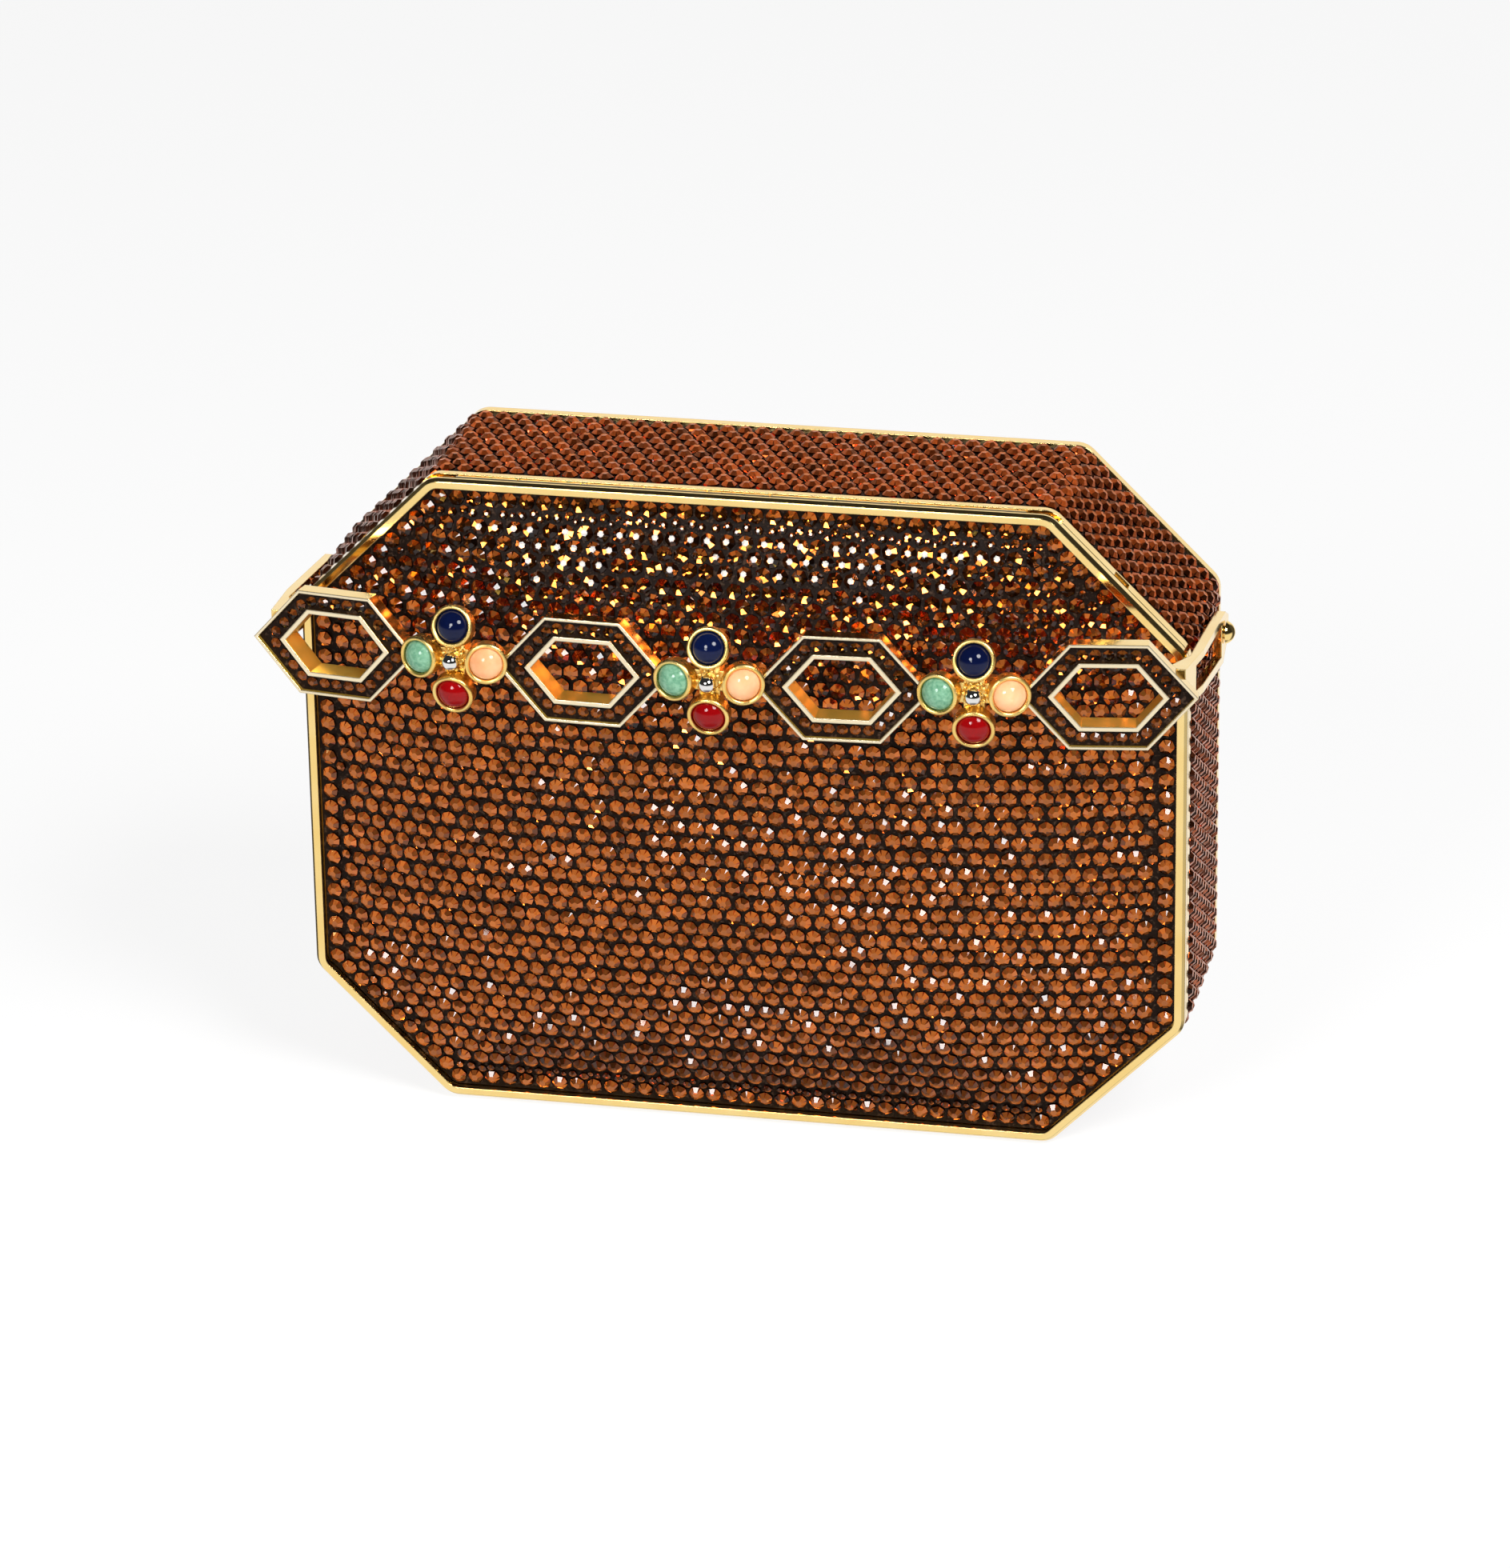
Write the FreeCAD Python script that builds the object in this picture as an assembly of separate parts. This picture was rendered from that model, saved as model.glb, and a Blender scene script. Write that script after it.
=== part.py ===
"""Octagonal evening box: stone-set case, domed front cover, jewelled closing bar on side arms."""
import FreeCAD, Part
import math
import os

Vec = FreeCAD.Vector

# The model is drawn with x to the right, y to the back from the cover's lip, z up from mid-height.
# At the end it is moved so that the origin is at the bottom centre of its box. Millimetres.

# Overall octagon, measured over the gold rims
CASE_WIDTH = 150.0
CASE_HEIGHT = 112.8
CASE_DEPTH = 36.2
CORNER_CUT = 22.8
CORNER_RADIUS = 4.0
SHARP_CORNER = 0.5

# Sheet, stone and leather thicknesses
RIM_THICKNESS = 0.65
WALL = 0.8
PLATE = 0.6
STONE_HEIGHT = 1.15
STONE_PROUD = 0.5
LINING = 0.6

# Gold bands seen from the edge, front to back
COVER_BAND = 2.0
FRONT_RIM = 2.15
BACK_RIM = 1.7

# Clearances
GLUE_GAP = 0.05
SEAM_GAP = 0.2
STEP_GAP = 0.3
SKIRT_GAP = 0.35
PIN_GAP = 0.05

# Cover frame and the back rim's lip
LIP_WIDTH = 1.65
LIP_CHAMFER = 0.5
LIP_CHAMFER_DEPTH = 0.7
BACK_LIP = 1.0
STONE_SUNK = 0.7
FACE_INSET = 1.8
LEDGE_WIDTH = 1.4
LEDGE = 0.7
SKIRT = 0.8
SKIRT_DEPTH = 2.3

# Domed faces: a flat border row, then a crown
BORDER_ROW = 2.4
FRONT_RISE = 9.0
BACK_RISE = 7.0
CROWN_POWER = 2.7
CROWN_CORNER = 8.0
CROWN_SOFTER = 22.0
CROWN_STEPS = (1.0, 0.9, 0.77, 0.6, 0.4, 0.18)

# Chain slots and eyes on the upper corner cuts
SLOT_LENGTH = 3.2
SLOT_BRIDGE = 0.45
EYE_FOOT_RADIUS = 1.6
EYE_FOOT = 0.6
EYE_RADIUS = 1.9
EYE_WIRE = 0.45
EYE_BEHIND_LINING_EDGE = 3.0

# Hinge along the cover's top edge
HINGE_LENGTH = 96.0
KNUCKLES = 9
KNUCKLE_GAP = 0.2
BARREL_RADIUS = 0.75
BARREL_SUNK = 0.05
BARREL_GAP = 0.17
HINGE_PIN_RADIUS = 0.45
LEAF = 0.7
LEAF_FOOT = 0.3

# Closing bar: bowed in plan, hexagonal links and flowers in turn
BAR_FRONT = 21.1
BAR_BELOW_CORNER = 1.5
BAR_BOW_RADIUS = 440.0
BAR_LEAN = 2.8
LINKS = 4
LINK_PAST_ARM = 1.9
LINK_DEPTH = 3.0
LINK_TIP = 14.5
LINK_HALF_HEIGHT = 8.95
LINK_FLAT = 6.4
HOLE_TIP = 8.82
HOLE_HALF_HEIGHT = 5.05
HOLE_FLAT = 4.45
OUTER_RAIL = 0.5
INNER_RAIL = 0.75
COLLAR_DEPTH = 4.8
CHANNEL_DEPTH = 1.2
LINK_STONE_RADIUS = 1.0
LINK_STONE_TABLE = 0.6
LINK_STONE_HEIGHT = 0.95
LINK_STONE_GAP = 0.12

# Flowers: four cups round a ball
FLOWER_RAISED = 0.6
CUP_AT = 5.4
CUP_RADIUS = 3.5
CUP_WALL = 0.6
CUP_FORWARD = 0.05
CUP_HEIGHT = 1.8
CUP_RECESS = 0.9
CUP_TILT = 16.0
STEM_HALF_WIDTH = 1.7
STEM_INTO_LINK = 1.6
STEM_FRONT = 0.6
STEM_REAR = 2.7
CABOCHON_RISE = 1.9
CABOCHON_SIDE = 0.5
SET_GAP = 0.05
BALL_RADIUS = 1.5
BALL_SEAT = 0.45
POST_RADIUS = 1.0
POST_HEIGHT = 0.9

# Arms beside the case and the studs that they turn on
ARM_GAP = 0.45
ARM_THICKNESS = 1.6
ARM_BEHIND_LINK_FACE = 2.2
ARM_TOP_ABOVE_BAR = 4.0
ARM_BOTTOM_BELOW_BAR = 3.0
ARM_TOP_ABOVE_PIVOT = 3.7
ARM_BOTTOM_BELOW_PIVOT = 4.8
ARM_RAIL = 1.4
ARM_BEND = 1.0
ARM_BEND_LENGTH = 13.0
WINDOW_BEHIND_FRONT = 7.5
ARM_EYE_RADIUS = 3.6
PIVOT_BEHIND_LIP = 24.4
PIVOT_BELOW_CORNER = 5.0
GUSSET_WIDTH = 2.9
GUSSET_LENGTH = 8.5
STUD_RADIUS = 1.2
STUD_HEAD_RADIUS = 1.95
STUD_HEAD_HEIGHT = 1.5
HEAD_GAP = 0.2
WASHER_RADIUS = 2.6
WASHER_GAP = 0.05

# Distances inward from the rims' outline
wall_outer = RIM_THICKNESS
wall_inner = wall_outer + WALL
frame_step = RIM_THICKNESS + STEP_GAP
skirt_outer = wall_inner + SKIRT_GAP
ledge_inner = FACE_INSET + LEDGE_WIDTH
crown_edge = FACE_INSET + BORDER_ROW
lining_outer = wall_inner + GLUE_GAP
lining_inner = lining_outer + LINING

# Stations from the front to the back
stone_face = STONE_SUNK
plate_face = stone_face + STONE_HEIGHT + GLUE_GAP
ledge_front = plate_face + PLATE
ledge_rear = ledge_front + LEDGE
skirt_rear = ledge_rear + SKIRT_DEPTH
rim_front = COVER_BAND + SEAM_GAP
rim_rear = rim_front + FRONT_RIM
wall_front = ledge_rear + SEAM_GAP
lining_front = skirt_rear + SKIRT_GAP
back_rim_front = CASE_DEPTH - BACK_RIM
wall_rear = CASE_DEPTH - BACK_LIP
back_stone_face = CASE_DEPTH - STONE_SUNK
back_plate_face = back_stone_face - STONE_HEIGHT - GLUE_GAP
back_ledge_rear = back_plate_face - PLATE
back_ledge_front = back_ledge_rear - LEDGE
lining_rear = back_ledge_front - GLUE_GAP

top = CASE_HEIGHT / 2
side = CASE_WIDTH / 2
hinge_y = (COVER_BAND + rim_front) / 2
hinge_z = top - BARREL_SUNK - BARREL_RADIUS
pocket_depth = BARREL_SUNK + 2 * BARREL_RADIUS + BARREL_GAP
pocket_front = hinge_y - BARREL_RADIUS - BARREL_GAP
pocket_rear = hinge_y + BARREL_RADIUS + BARREL_GAP

# Closing bar and arms, tied to the case's upper corners and sides
side_top = top - CORNER_CUT
bar_z = side_top - BAR_BELOW_CORNER
pivot_z = side_top - PIVOT_BELOW_CORNER
arm_inner = side + STONE_PROUD + ARM_GAP
arm_outer = arm_inner + ARM_THICKNESS
end_link_at = arm_outer + LINK_PAST_ARM - LINK_TIP
link_pitch = 2 * end_link_at / (LINKS - 1)
stem_reach = link_pitch / 2 - LINK_TIP + STEM_INTO_LINK
end_turn = end_link_at / BAR_BOW_RADIUS
end_back = BAR_BOW_RADIUS * (1 - math.cos(end_turn)) + LINK_TIP * math.sin(end_turn)
arm_front = BAR_FRONT - end_back - ARM_BEHIND_LINK_FACE

parts = {}


def octagon(inset, y, scale=1.0, radius=None):
    """Rounded octagon wire at depth y, inset from the rims' outline, then scaled about the middle."""
    half_w = side - inset
    half_h = top - inset
    cut = CORNER_CUT - inset * (2 - math.sqrt(2))
    if radius is None:
        radius = max(CORNER_RADIUS - inset, SHARP_CORNER)
    quarter = [(half_w, half_h - cut), (half_w - cut, half_h)]
    corners = quarter + [(-x, z) for x, z in reversed(quarter)]
    corners += [(-x, -z) for x, z in corners]
    points = [Vec(x * scale, y, z * scale) for x, z in corners]
    return rounded_wire(points, radius * scale)


def rounded_wire(points, radius):
    """Closed wire through the points with every corner rounded by an arc."""
    arcs = []
    for i, corner in enumerate(points):
        before = (points[i - 1] - corner).normalize()
        after = (points[(i + 1) % len(points)] - corner).normalize()
        half_angle = before.getAngle(after) / 2
        reach = radius / math.tan(half_angle)
        inward = (before + after).normalize()
        middle = corner + inward * (radius / math.sin(half_angle) - radius)
        arcs.append((corner + before * reach, middle, corner + after * reach))
    edges = []
    for i, (start, middle, end) in enumerate(arcs):
        edges.append(Part.LineSegment(arcs[i - 1][2], start).toShape())
        edges.append(Part.Arc(start, middle, end).toShape())
    return Part.Wire(edges)


def prism(inset, y0, y1):
    """Solid octagon from y0 to y1."""
    return Part.Face(octagon(inset, y0)).extrude(Vec(0, y1 - y0, 0))


def ring(outer, inner, y0, y1):
    """Octagonal ring between two insets, from y0 to y1."""
    wires = [octagon(outer, y0), octagon(inner, y0)]
    return Part.makeFace(wires, "Part::FaceMakerBullseye").extrude(Vec(0, y1 - y0, 0))


def box(x0, x1, y0, y1, z0, z1):
    """Box between two corners."""
    return Part.makeBox(x1 - x0, y1 - y0, z1 - z0, Vec(x0, y0, z0))


def polygon_solid(points, along):
    """Prism over a flat outline."""
    return Part.Face(Part.makePolygon(points + points[:1])).extrude(along)


def crown(face_y, rise, outward):
    """Solid dome that stands on the plane face_y; outward is -1 to the front, 1 to the back."""
    wires = []
    for t in CROWN_STEPS:
        y = face_y + outward * rise * (1 - t ** CROWN_POWER)
        wires.append(octagon(crown_edge, y, t, CROWN_CORNER + CROWN_SOFTER * (1 - t)))
    return Part.makeLoft(wires, True, False)


def domed_sheet(edge, face_y, thickness, rise, outward):
    """Sheet of even thickness with a flat border and a crown, its outer border face at face_y."""
    inner_y = face_y - outward * thickness
    slab = prism(edge, face_y, inner_y)
    hollow = crown(inner_y, rise, outward)
    return slab.fuse(crown(face_y, rise, outward)).cut(hollow)


def mirrored(shape):
    """Copy on the other side of the box."""
    return shape.mirror(Vec(0, 0, 0), Vec(1, 0, 0))


def corner_cut_frame(inset, y):
    """Placement at the middle of the right upper corner cut: local z points out of the case."""
    half_w = side - inset
    half_h = top - inset
    cut = CORNER_CUT - inset * (2 - math.sqrt(2))
    place = Vec(half_w - cut / 2, y, half_h - cut / 2)
    return FreeCAD.Placement(place, FreeCAD.Rotation(Vec(0, 1, 0), 45))


# Case: a brass wall with a ledge for the back plate, open at the front
def make_case():
    wall = ring(wall_outer, wall_inner, wall_front, wall_rear)
    ledge = ring(wall_inner, ledge_inner, back_ledge_front, back_ledge_rear)
    shell = wall.fuse(ledge)
    front = ring(0, RIM_THICKNESS, rim_front, rim_rear)
    back = ring(0, RIM_THICKNESS, back_rim_front, wall_rear)
    back = back.fuse(ring(0, LIP_WIDTH, wall_rear, CASE_DEPTH))
    stones = ring(-STONE_PROUD, wall_outer - GLUE_GAP, rim_rear + GLUE_GAP, back_rim_front - GLUE_GAP)
    tray = ring(lining_outer, lining_inner, lining_front, lining_rear)
    tray = tray.fuse(prism(lining_outer, lining_rear - LINING, lining_rear))

    half_slot = SLOT_LENGTH / 2
    slot = box(-half_slot, half_slot, 0, rim_rear - SLOT_BRIDGE, -lining_inner, STONE_PROUD)
    slot.Placement = corner_cut_frame(0, 0)
    for cutter in (slot, mirrored(slot)):
        front = front.cut(cutter)
        shell = shell.cut(cutter)
    front = front.cut(hinge_pocket(0, pocket_rear))

    reach = STONE_PROUD + wall_inner
    for sign in (1, -1):
        start = Vec(sign * (side - wall_inner), PIVOT_BEHIND_LIP, pivot_z)
        hole = Part.makeCylinder(STUD_RADIUS, reach, start, Vec(sign, 0, 0))
        shell = shell.cut(hole)
        stones = stones.cut(hole)

    parts["case_shell"] = shell
    parts["case_front_rim"] = front
    parts["case_back_rim"] = back
    parts["band_stones"] = stones
    parts["case_lining"] = tray
    parts["case_back_panel"] = domed_sheet(FACE_INSET, back_plate_face, PLATE, BACK_RISE, 1)
    parts["back_stones"] = domed_sheet(FACE_INSET, back_stone_face, STONE_HEIGHT, BACK_RISE, 1)


# Eyes for a shoulder chain, inside the case under the slots
def make_chain_eyes():
    eye_y = lining_front + EYE_BEHIND_LINING_EDGE
    foot = Part.makeCylinder(EYE_FOOT_RADIUS, EYE_FOOT, Vec(0, 0, -EYE_FOOT))
    loop = Part.makeTorus(EYE_RADIUS, EYE_WIRE, Vec(0, 0, -EYE_FOOT - EYE_RADIUS), Vec(0, 1, 0))
    eye = foot.fuse(loop)
    eye.Placement = corner_cut_frame(lining_inner, eye_y)
    parts["chain_eye_right"] = eye
    parts["chain_eye_left"] = mirrored(eye)


def hinge_pocket(y0, y1):
    """Room for the hinge barrel across the whole top edge, down past the ends of the top flat."""
    reach = side - CORNER_CUT + pocket_depth
    return box(-reach, reach, y0, y1, top - pocket_depth, top + STONE_PROUD)


# Cover: frame with a lip, ledge and skirt; domed plate, stones and leather
def make_cover():
    band = ring(0, LIP_WIDTH, LIP_CHAMFER_DEPTH, COVER_BAND)
    lip = Part.makeLoft([octagon(0, LIP_CHAMFER_DEPTH), octagon(LIP_CHAMFER, 0)], True, True)
    frame = band.fuse(lip.cut(prism(LIP_WIDTH, 0, LIP_CHAMFER_DEPTH)))
    frame = frame.fuse(ring(frame_step, LIP_WIDTH, LIP_CHAMFER_DEPTH, ledge_rear))
    frame = frame.fuse(ring(frame_step, ledge_inner, ledge_front, ledge_rear))
    frame = frame.fuse(ring(skirt_outer, skirt_outer + SKIRT, ledge_front, skirt_rear))
    parts["cover_frame"] = frame.cut(hinge_pocket(pocket_front, skirt_rear))
    parts["cover_shell"] = domed_sheet(FACE_INSET, plate_face, PLATE, FRONT_RISE, -1)
    parts["cover_stones"] = domed_sheet(FACE_INSET, stone_face, STONE_HEIGHT, FRONT_RISE, -1)
    lining_y = ledge_front + GLUE_GAP
    parts["cover_lining"] = domed_sheet(ledge_inner + GLUE_GAP, lining_y, LINING, FRONT_RISE, -1)


# Hinge: knuckles of case and cover in turn on one pin
def make_hinge():
    pitch = HINGE_LENGTH / KNUCKLES
    leaf_top = top - RIM_THICKNESS
    case_knuckles = []
    cover_knuckles = []
    for i in range(KNUCKLES):
        x0 = -HINGE_LENGTH / 2 + i * pitch + KNUCKLE_GAP / 2
        x1 = x0 + pitch - KNUCKLE_GAP
        start = Vec(x0, hinge_y, hinge_z)
        barrel = Part.makeCylinder(BARREL_RADIUS, x1 - x0, start, Vec(1, 0, 0))
        if i % 2:
            leaf = box(x0, x1, pocket_front, hinge_y, leaf_top - LEAF, leaf_top)
            foot = box(x0, x1, ledge_front, ledge_front + LEAF_FOOT, top - pocket_depth, hinge_z)
            leaf = leaf.fuse(foot)
        else:
            leaf = box(x0, x1, hinge_y, wall_front, leaf_top - LEAF, leaf_top)
        bore = Part.makeCylinder(HINGE_PIN_RADIUS + PIN_GAP, x1 - x0, start, Vec(1, 0, 0))
        knuckle = barrel.fuse(leaf).cut(bore)
        (cover_knuckles if i % 2 else case_knuckles).append(knuckle)
    pin_start = Vec(-HINGE_LENGTH / 2, hinge_y, hinge_z)
    parts["hinge_knuckles_case"] = Part.makeCompound(case_knuckles)
    parts["hinge_knuckles_cover"] = Part.makeCompound(cover_knuckles)
    parts["hinge_pin"] = Part.makeCylinder(HINGE_PIN_RADIUS, HINGE_LENGTH, pin_start, Vec(1, 0, 0))


def on_bar(shape, along, raised=0.0):
    """Put a piece drawn about the bar's front face at its place along the bow."""
    turn = math.degrees(along / BAR_BOW_RADIUS)
    x = BAR_BOW_RADIUS * math.sin(math.radians(turn))
    y = -BAR_FRONT + BAR_BOW_RADIUS * (1 - math.cos(math.radians(turn)))
    lean = FreeCAD.Rotation(Vec(1, 0, 0), -BAR_LEAN)
    yaw = FreeCAD.Rotation(Vec(0, 0, 1), turn)
    placed = shape.copy()
    placed.Placement = FreeCAD.Placement(Vec(x, y, bar_z + raised), yaw * lean).multiply(shape.Placement)
    return placed


def hexagon(tip, half_height, flat, inset=0.0):
    """Corners of a long hexagon in the bar's front plane, inset evenly on all sides."""
    slant = (tip - flat) / half_height
    tip = tip - inset * math.hypot(1, slant)
    half_height = half_height - inset
    flat = tip - slant * half_height
    upper = [Vec(tip, 0, 0), Vec(flat, 0, half_height), Vec(-flat, 0, half_height)]
    return upper + [Vec(-p.x, 0, -p.z) for p in upper]


def hexagon_solid(corners, y0, y1):
    """Prism over hexagon corners from y0 to y1."""
    solid = polygon_solid(corners, Vec(0, y1 - y0, 0))
    solid.translate(Vec(0, y0, 0))
    return solid


def collar_corners():
    """Outer corners of the collar round a link's opening, whose front edge is the inner rail."""
    return hexagon(HOLE_TIP, HOLE_HALF_HEIGHT, HOLE_FLAT, -INNER_RAIL)


def link_blank():
    """Link with its opening filled, used to fit neighbours round it."""
    plate = hexagon_solid(hexagon(LINK_TIP, LINK_HALF_HEIGHT, LINK_FLAT), 0, LINK_DEPTH)
    return plate.fuse(hexagon_solid(collar_corners(), 0, COLLAR_DEPTH))


def link_frame():
    """Open hexagonal link with a stone channel between two rails, and a deeper collar round its opening."""
    opening = hexagon_solid(hexagon(HOLE_TIP, HOLE_HALF_HEIGHT, HOLE_FLAT), 0, COLLAR_DEPTH)
    outer_rail = hexagon(LINK_TIP, LINK_HALF_HEIGHT, LINK_FLAT, OUTER_RAIL)
    channel = hexagon_solid(outer_rail, 0, CHANNEL_DEPTH)
    channel = channel.cut(hexagon_solid(collar_corners(), 0, CHANNEL_DEPTH))
    return link_blank().cut(opening).cut(channel)


def link_stones():
    """Small cone-cut stones along the middle of the channel, as many as fit clear of each other."""
    outer = hexagon(LINK_TIP, LINK_HALF_HEIGHT, LINK_FLAT, OUTER_RAIL)
    middle = [(a + b) * 0.5 for a, b in zip(outer, collar_corners())]
    spacing = 2 * LINK_STONE_RADIUS + LINK_STONE_GAP
    corner_room = []
    for i, corner in enumerate(middle):
        before = middle[i - 1] - corner
        after = middle[(i + 1) % len(middle)] - corner
        corner_room.append(spacing / 2 / math.sin(before.getAngle(after) / 2))
    sizes = (LINK_STONE_RADIUS, LINK_STONE_TABLE, LINK_STONE_HEIGHT)
    stones = []
    for i, start in enumerate(middle):
        run = middle[(i + 1) % len(middle)] - start
        room = run.Length - corner_room[i] - corner_room[(i + 1) % len(middle)]
        steps = max(math.floor(room / spacing), 1)
        along = Vec(run).normalize()
        for k in range(steps + 1):
            foot = start + along * (corner_room[i] + room * k / steps) + Vec(0, CHANNEL_DEPTH, 0)
            stones.append(Part.makeCone(*sizes, foot, Vec(0, -1, 0)))
    return Part.makeCompound(stones)


def turned_solid(points):
    """Solid of revolution about z from (radius, height) points; the last run is a quarter arc."""
    (side_r, side_z), (tip_r, tip_z) = points[-2:]
    rise = tip_z - side_z
    ball = (side_r ** 2 + rise ** 2) / (2 * rise)
    lean = math.asin(side_r / ball) / 2
    middle = Vec(ball * math.sin(lean), 0, tip_z - ball * (1 - math.cos(lean)))
    corners = [Vec(r, 0, z) for r, z in points[:-1]]
    edges = [Part.LineSegment(a, b).toShape() for a, b in zip(corners, corners[1:])]
    edges.append(Part.Arc(corners[-1], middle, Vec(tip_r, 0, tip_z)).toShape())
    edges.append(Part.LineSegment(Vec(tip_r, 0, tip_z), corners[0]).toShape())
    return Part.Face(Part.Wire(edges)).revolve(Vec(0, 0, 0), Vec(0, 0, 1), 360)


def in_cup(shape, x, z):
    """Stand a piece drawn about z in the cup at (x, z) of a flower, tilted away from the middle."""
    forward = FreeCAD.Rotation(Vec(1, 0, 0), 90)
    tilt_axis = Vec(z, 0, -x).normalize()
    tilt = FreeCAD.Rotation(tilt_axis, -CUP_TILT)
    placed = shape.copy()
    placed.Placement = FreeCAD.Placement(Vec(x, -CUP_FORWARD, z), tilt * forward).multiply(shape.Placement)
    return placed


CUP_PLACES = {"blue": (0, CUP_AT), "red": (0, -CUP_AT), "green": (-CUP_AT, 0), "peach": (CUP_AT, 0)}


def flower_casting():
    """Cross-shaped stem with four cups and a post for the ball."""
    half = STEM_HALF_WIDTH
    body = box(-stem_reach, stem_reach, -STEM_FRONT, STEM_REAR, -half, half)
    body = body.fuse(box(-half, half, -STEM_FRONT, STEM_REAR, -CUP_AT, CUP_AT))
    post = Part.makeCylinder(POST_RADIUS, POST_HEIGHT, Vec(0, -STEM_FRONT, 0), Vec(0, -1, 0))
    body = body.fuse(post)
    cup = Part.makeCylinder(CUP_RADIUS, CUP_HEIGHT)
    seat_depth = CUP_RECESS + STEM_FRONT
    seat = Part.makeCylinder(CUP_RADIUS - CUP_WALL, seat_depth, Vec(0, 0, CUP_HEIGHT - CUP_RECESS))
    for x, z in CUP_PLACES.values():
        body = body.fuse(in_cup(cup, x, z))
    for x, z in CUP_PLACES.values():
        body = body.cut(in_cup(seat, x, z))
    return body


def flower_ball():
    """Polished ball with a flat seat on its post."""
    seat_y = -STEM_FRONT - POST_HEIGHT
    centre = Vec(0, seat_y - BALL_RADIUS + BALL_SEAT, 0)
    ball = Part.makeSphere(BALL_RADIUS, centre)
    reach = 2 * BALL_RADIUS
    return ball.cut(box(-reach, reach, seat_y, seat_y + reach, -reach, reach))


# Closing bar: links, flowers, cabochons and beads along the bow
def make_bar():
    link_places = [-end_link_at + i * link_pitch for i in range(LINKS)]
    flower_places = [along + link_pitch / 2 for along in link_places[:-1]]
    frame = link_frame()
    stones = link_stones()
    for number, along in enumerate(link_places, 1):
        parts["link_%d" % number] = on_bar(frame, along)
        parts["link_stones_%d" % number] = on_bar(stones, along)
    blanks = [on_bar(link_blank(), along) for along in link_places]
    casting = flower_casting()
    for number, along in enumerate(flower_places, 1):
        flower = on_bar(casting, along, FLOWER_RAISED)
        for blank in blanks[number - 1:number + 1]:
            flower = flower.cut(blank)
        parts["flower_%d" % number] = flower

    set_radius = CUP_RADIUS - CUP_WALL - SET_GAP
    profile = [(0, 0), (set_radius, 0), (set_radius, CABOCHON_SIDE), (0, CABOCHON_SIDE + CABOCHON_RISE)]
    cabochon = turned_solid(profile)
    cabochon.translate(Vec(0, 0, CUP_HEIGHT - CUP_RECESS))
    for colour, (x, z) in CUP_PLACES.items():
        set_stone = in_cup(cabochon, x, z)
        placed = [on_bar(set_stone, along, FLOWER_RAISED) for along in flower_places]
        parts["cabochons_" + colour] = Part.makeCompound(placed)
    balls = [on_bar(flower_ball(), along, FLOWER_RAISED) for along in flower_places]
    parts["flower_beads"] = Part.makeCompound(balls)
    return blanks


def arm_outline(x):
    """Outer side outline of an arm at x, from the link's tip back past the pivot."""
    rear = PIVOT_BEHIND_LIP + ARM_EYE_RADIUS
    shoulder = ARM_EYE_RADIUS / 2
    points = [(-arm_front, bar_z - ARM_BOTTOM_BELOW_BAR), (-arm_front, bar_z + ARM_TOP_ABOVE_BAR)]
    points += [(PIVOT_BEHIND_LIP, pivot_z + ARM_TOP_ABOVE_PIVOT), (rear, pivot_z + shoulder)]
    points += [(rear, pivot_z - shoulder), (PIVOT_BEHIND_LIP - shoulder, pivot_z - ARM_BOTTOM_BELOW_PIVOT)]
    return [Vec(x, y, z) for y, z in points]


def arm_window(x):
    """Opening of an arm at x, a rail's width inside the outline."""
    front_bottom, front_top, rear_top, _, _, rear_bottom = arm_outline(x)
    window_rear = PIVOT_BEHIND_LIP - ARM_EYE_RADIUS

    def rail_z(a, b, y):
        return a.z + (b.z - a.z) * (y - a.y) / (b.y - a.y)

    window_front = WINDOW_BEHIND_FRONT - arm_front
    points = [(window_front, rail_z(front_bottom, rear_bottom, window_front) + ARM_RAIL)]
    points += [(window_front, rail_z(front_top, rear_top, window_front) - ARM_RAIL)]
    points += [(window_rear, rail_z(front_top, rear_top, window_rear) - ARM_RAIL)]
    points += [(window_rear, rail_z(front_bottom, rear_bottom, window_rear) + ARM_RAIL)]
    return [Vec(x, y, z) for y, z in points]


# Arms: open frames from the end links back to the pivots, bent in at the front to a gusset behind the link
def make_arms(blanks):
    across = Vec(ARM_THICKNESS, 0, 0)
    arm = polygon_solid(arm_outline(arm_inner), across).cut(polygon_solid(arm_window(arm_inner), across))
    bend = [Vec(arm_outer, ARM_BEND_LENGTH - arm_front, 0), Vec(arm_outer, -arm_front, 0)]
    bend += [Vec(arm_outer - ARM_BEND, -arm_front, 0)]
    arm = arm.cut(polygon_solid(bend, Vec(0, 0, CASE_HEIGHT)))
    gusset_x = arm_inner - GUSSET_WIDTH
    plan = [Vec(arm_inner, -arm_front, 0), Vec(gusset_x, -arm_front, 0)]
    plan += [Vec(arm_inner, GUSSET_LENGTH - arm_front, 0)]
    gusset = polygon_solid(plan, Vec(0, 0, CASE_HEIGHT))
    gusset = gusset.common(polygon_solid(arm_outline(gusset_x), Vec(GUSSET_WIDTH, 0, 0)))
    arm = arm.fuse(gusset)
    start = Vec(arm_inner, PIVOT_BEHIND_LIP, pivot_z)
    arm = arm.cut(Part.makeCylinder(STUD_RADIUS + PIN_GAP, ARM_THICKNESS, start, Vec(1, 0, 0)))
    arm = arm.cut(blanks[-1])
    parts["arm_right"] = arm
    parts["arm_left"] = mirrored(arm)


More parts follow.
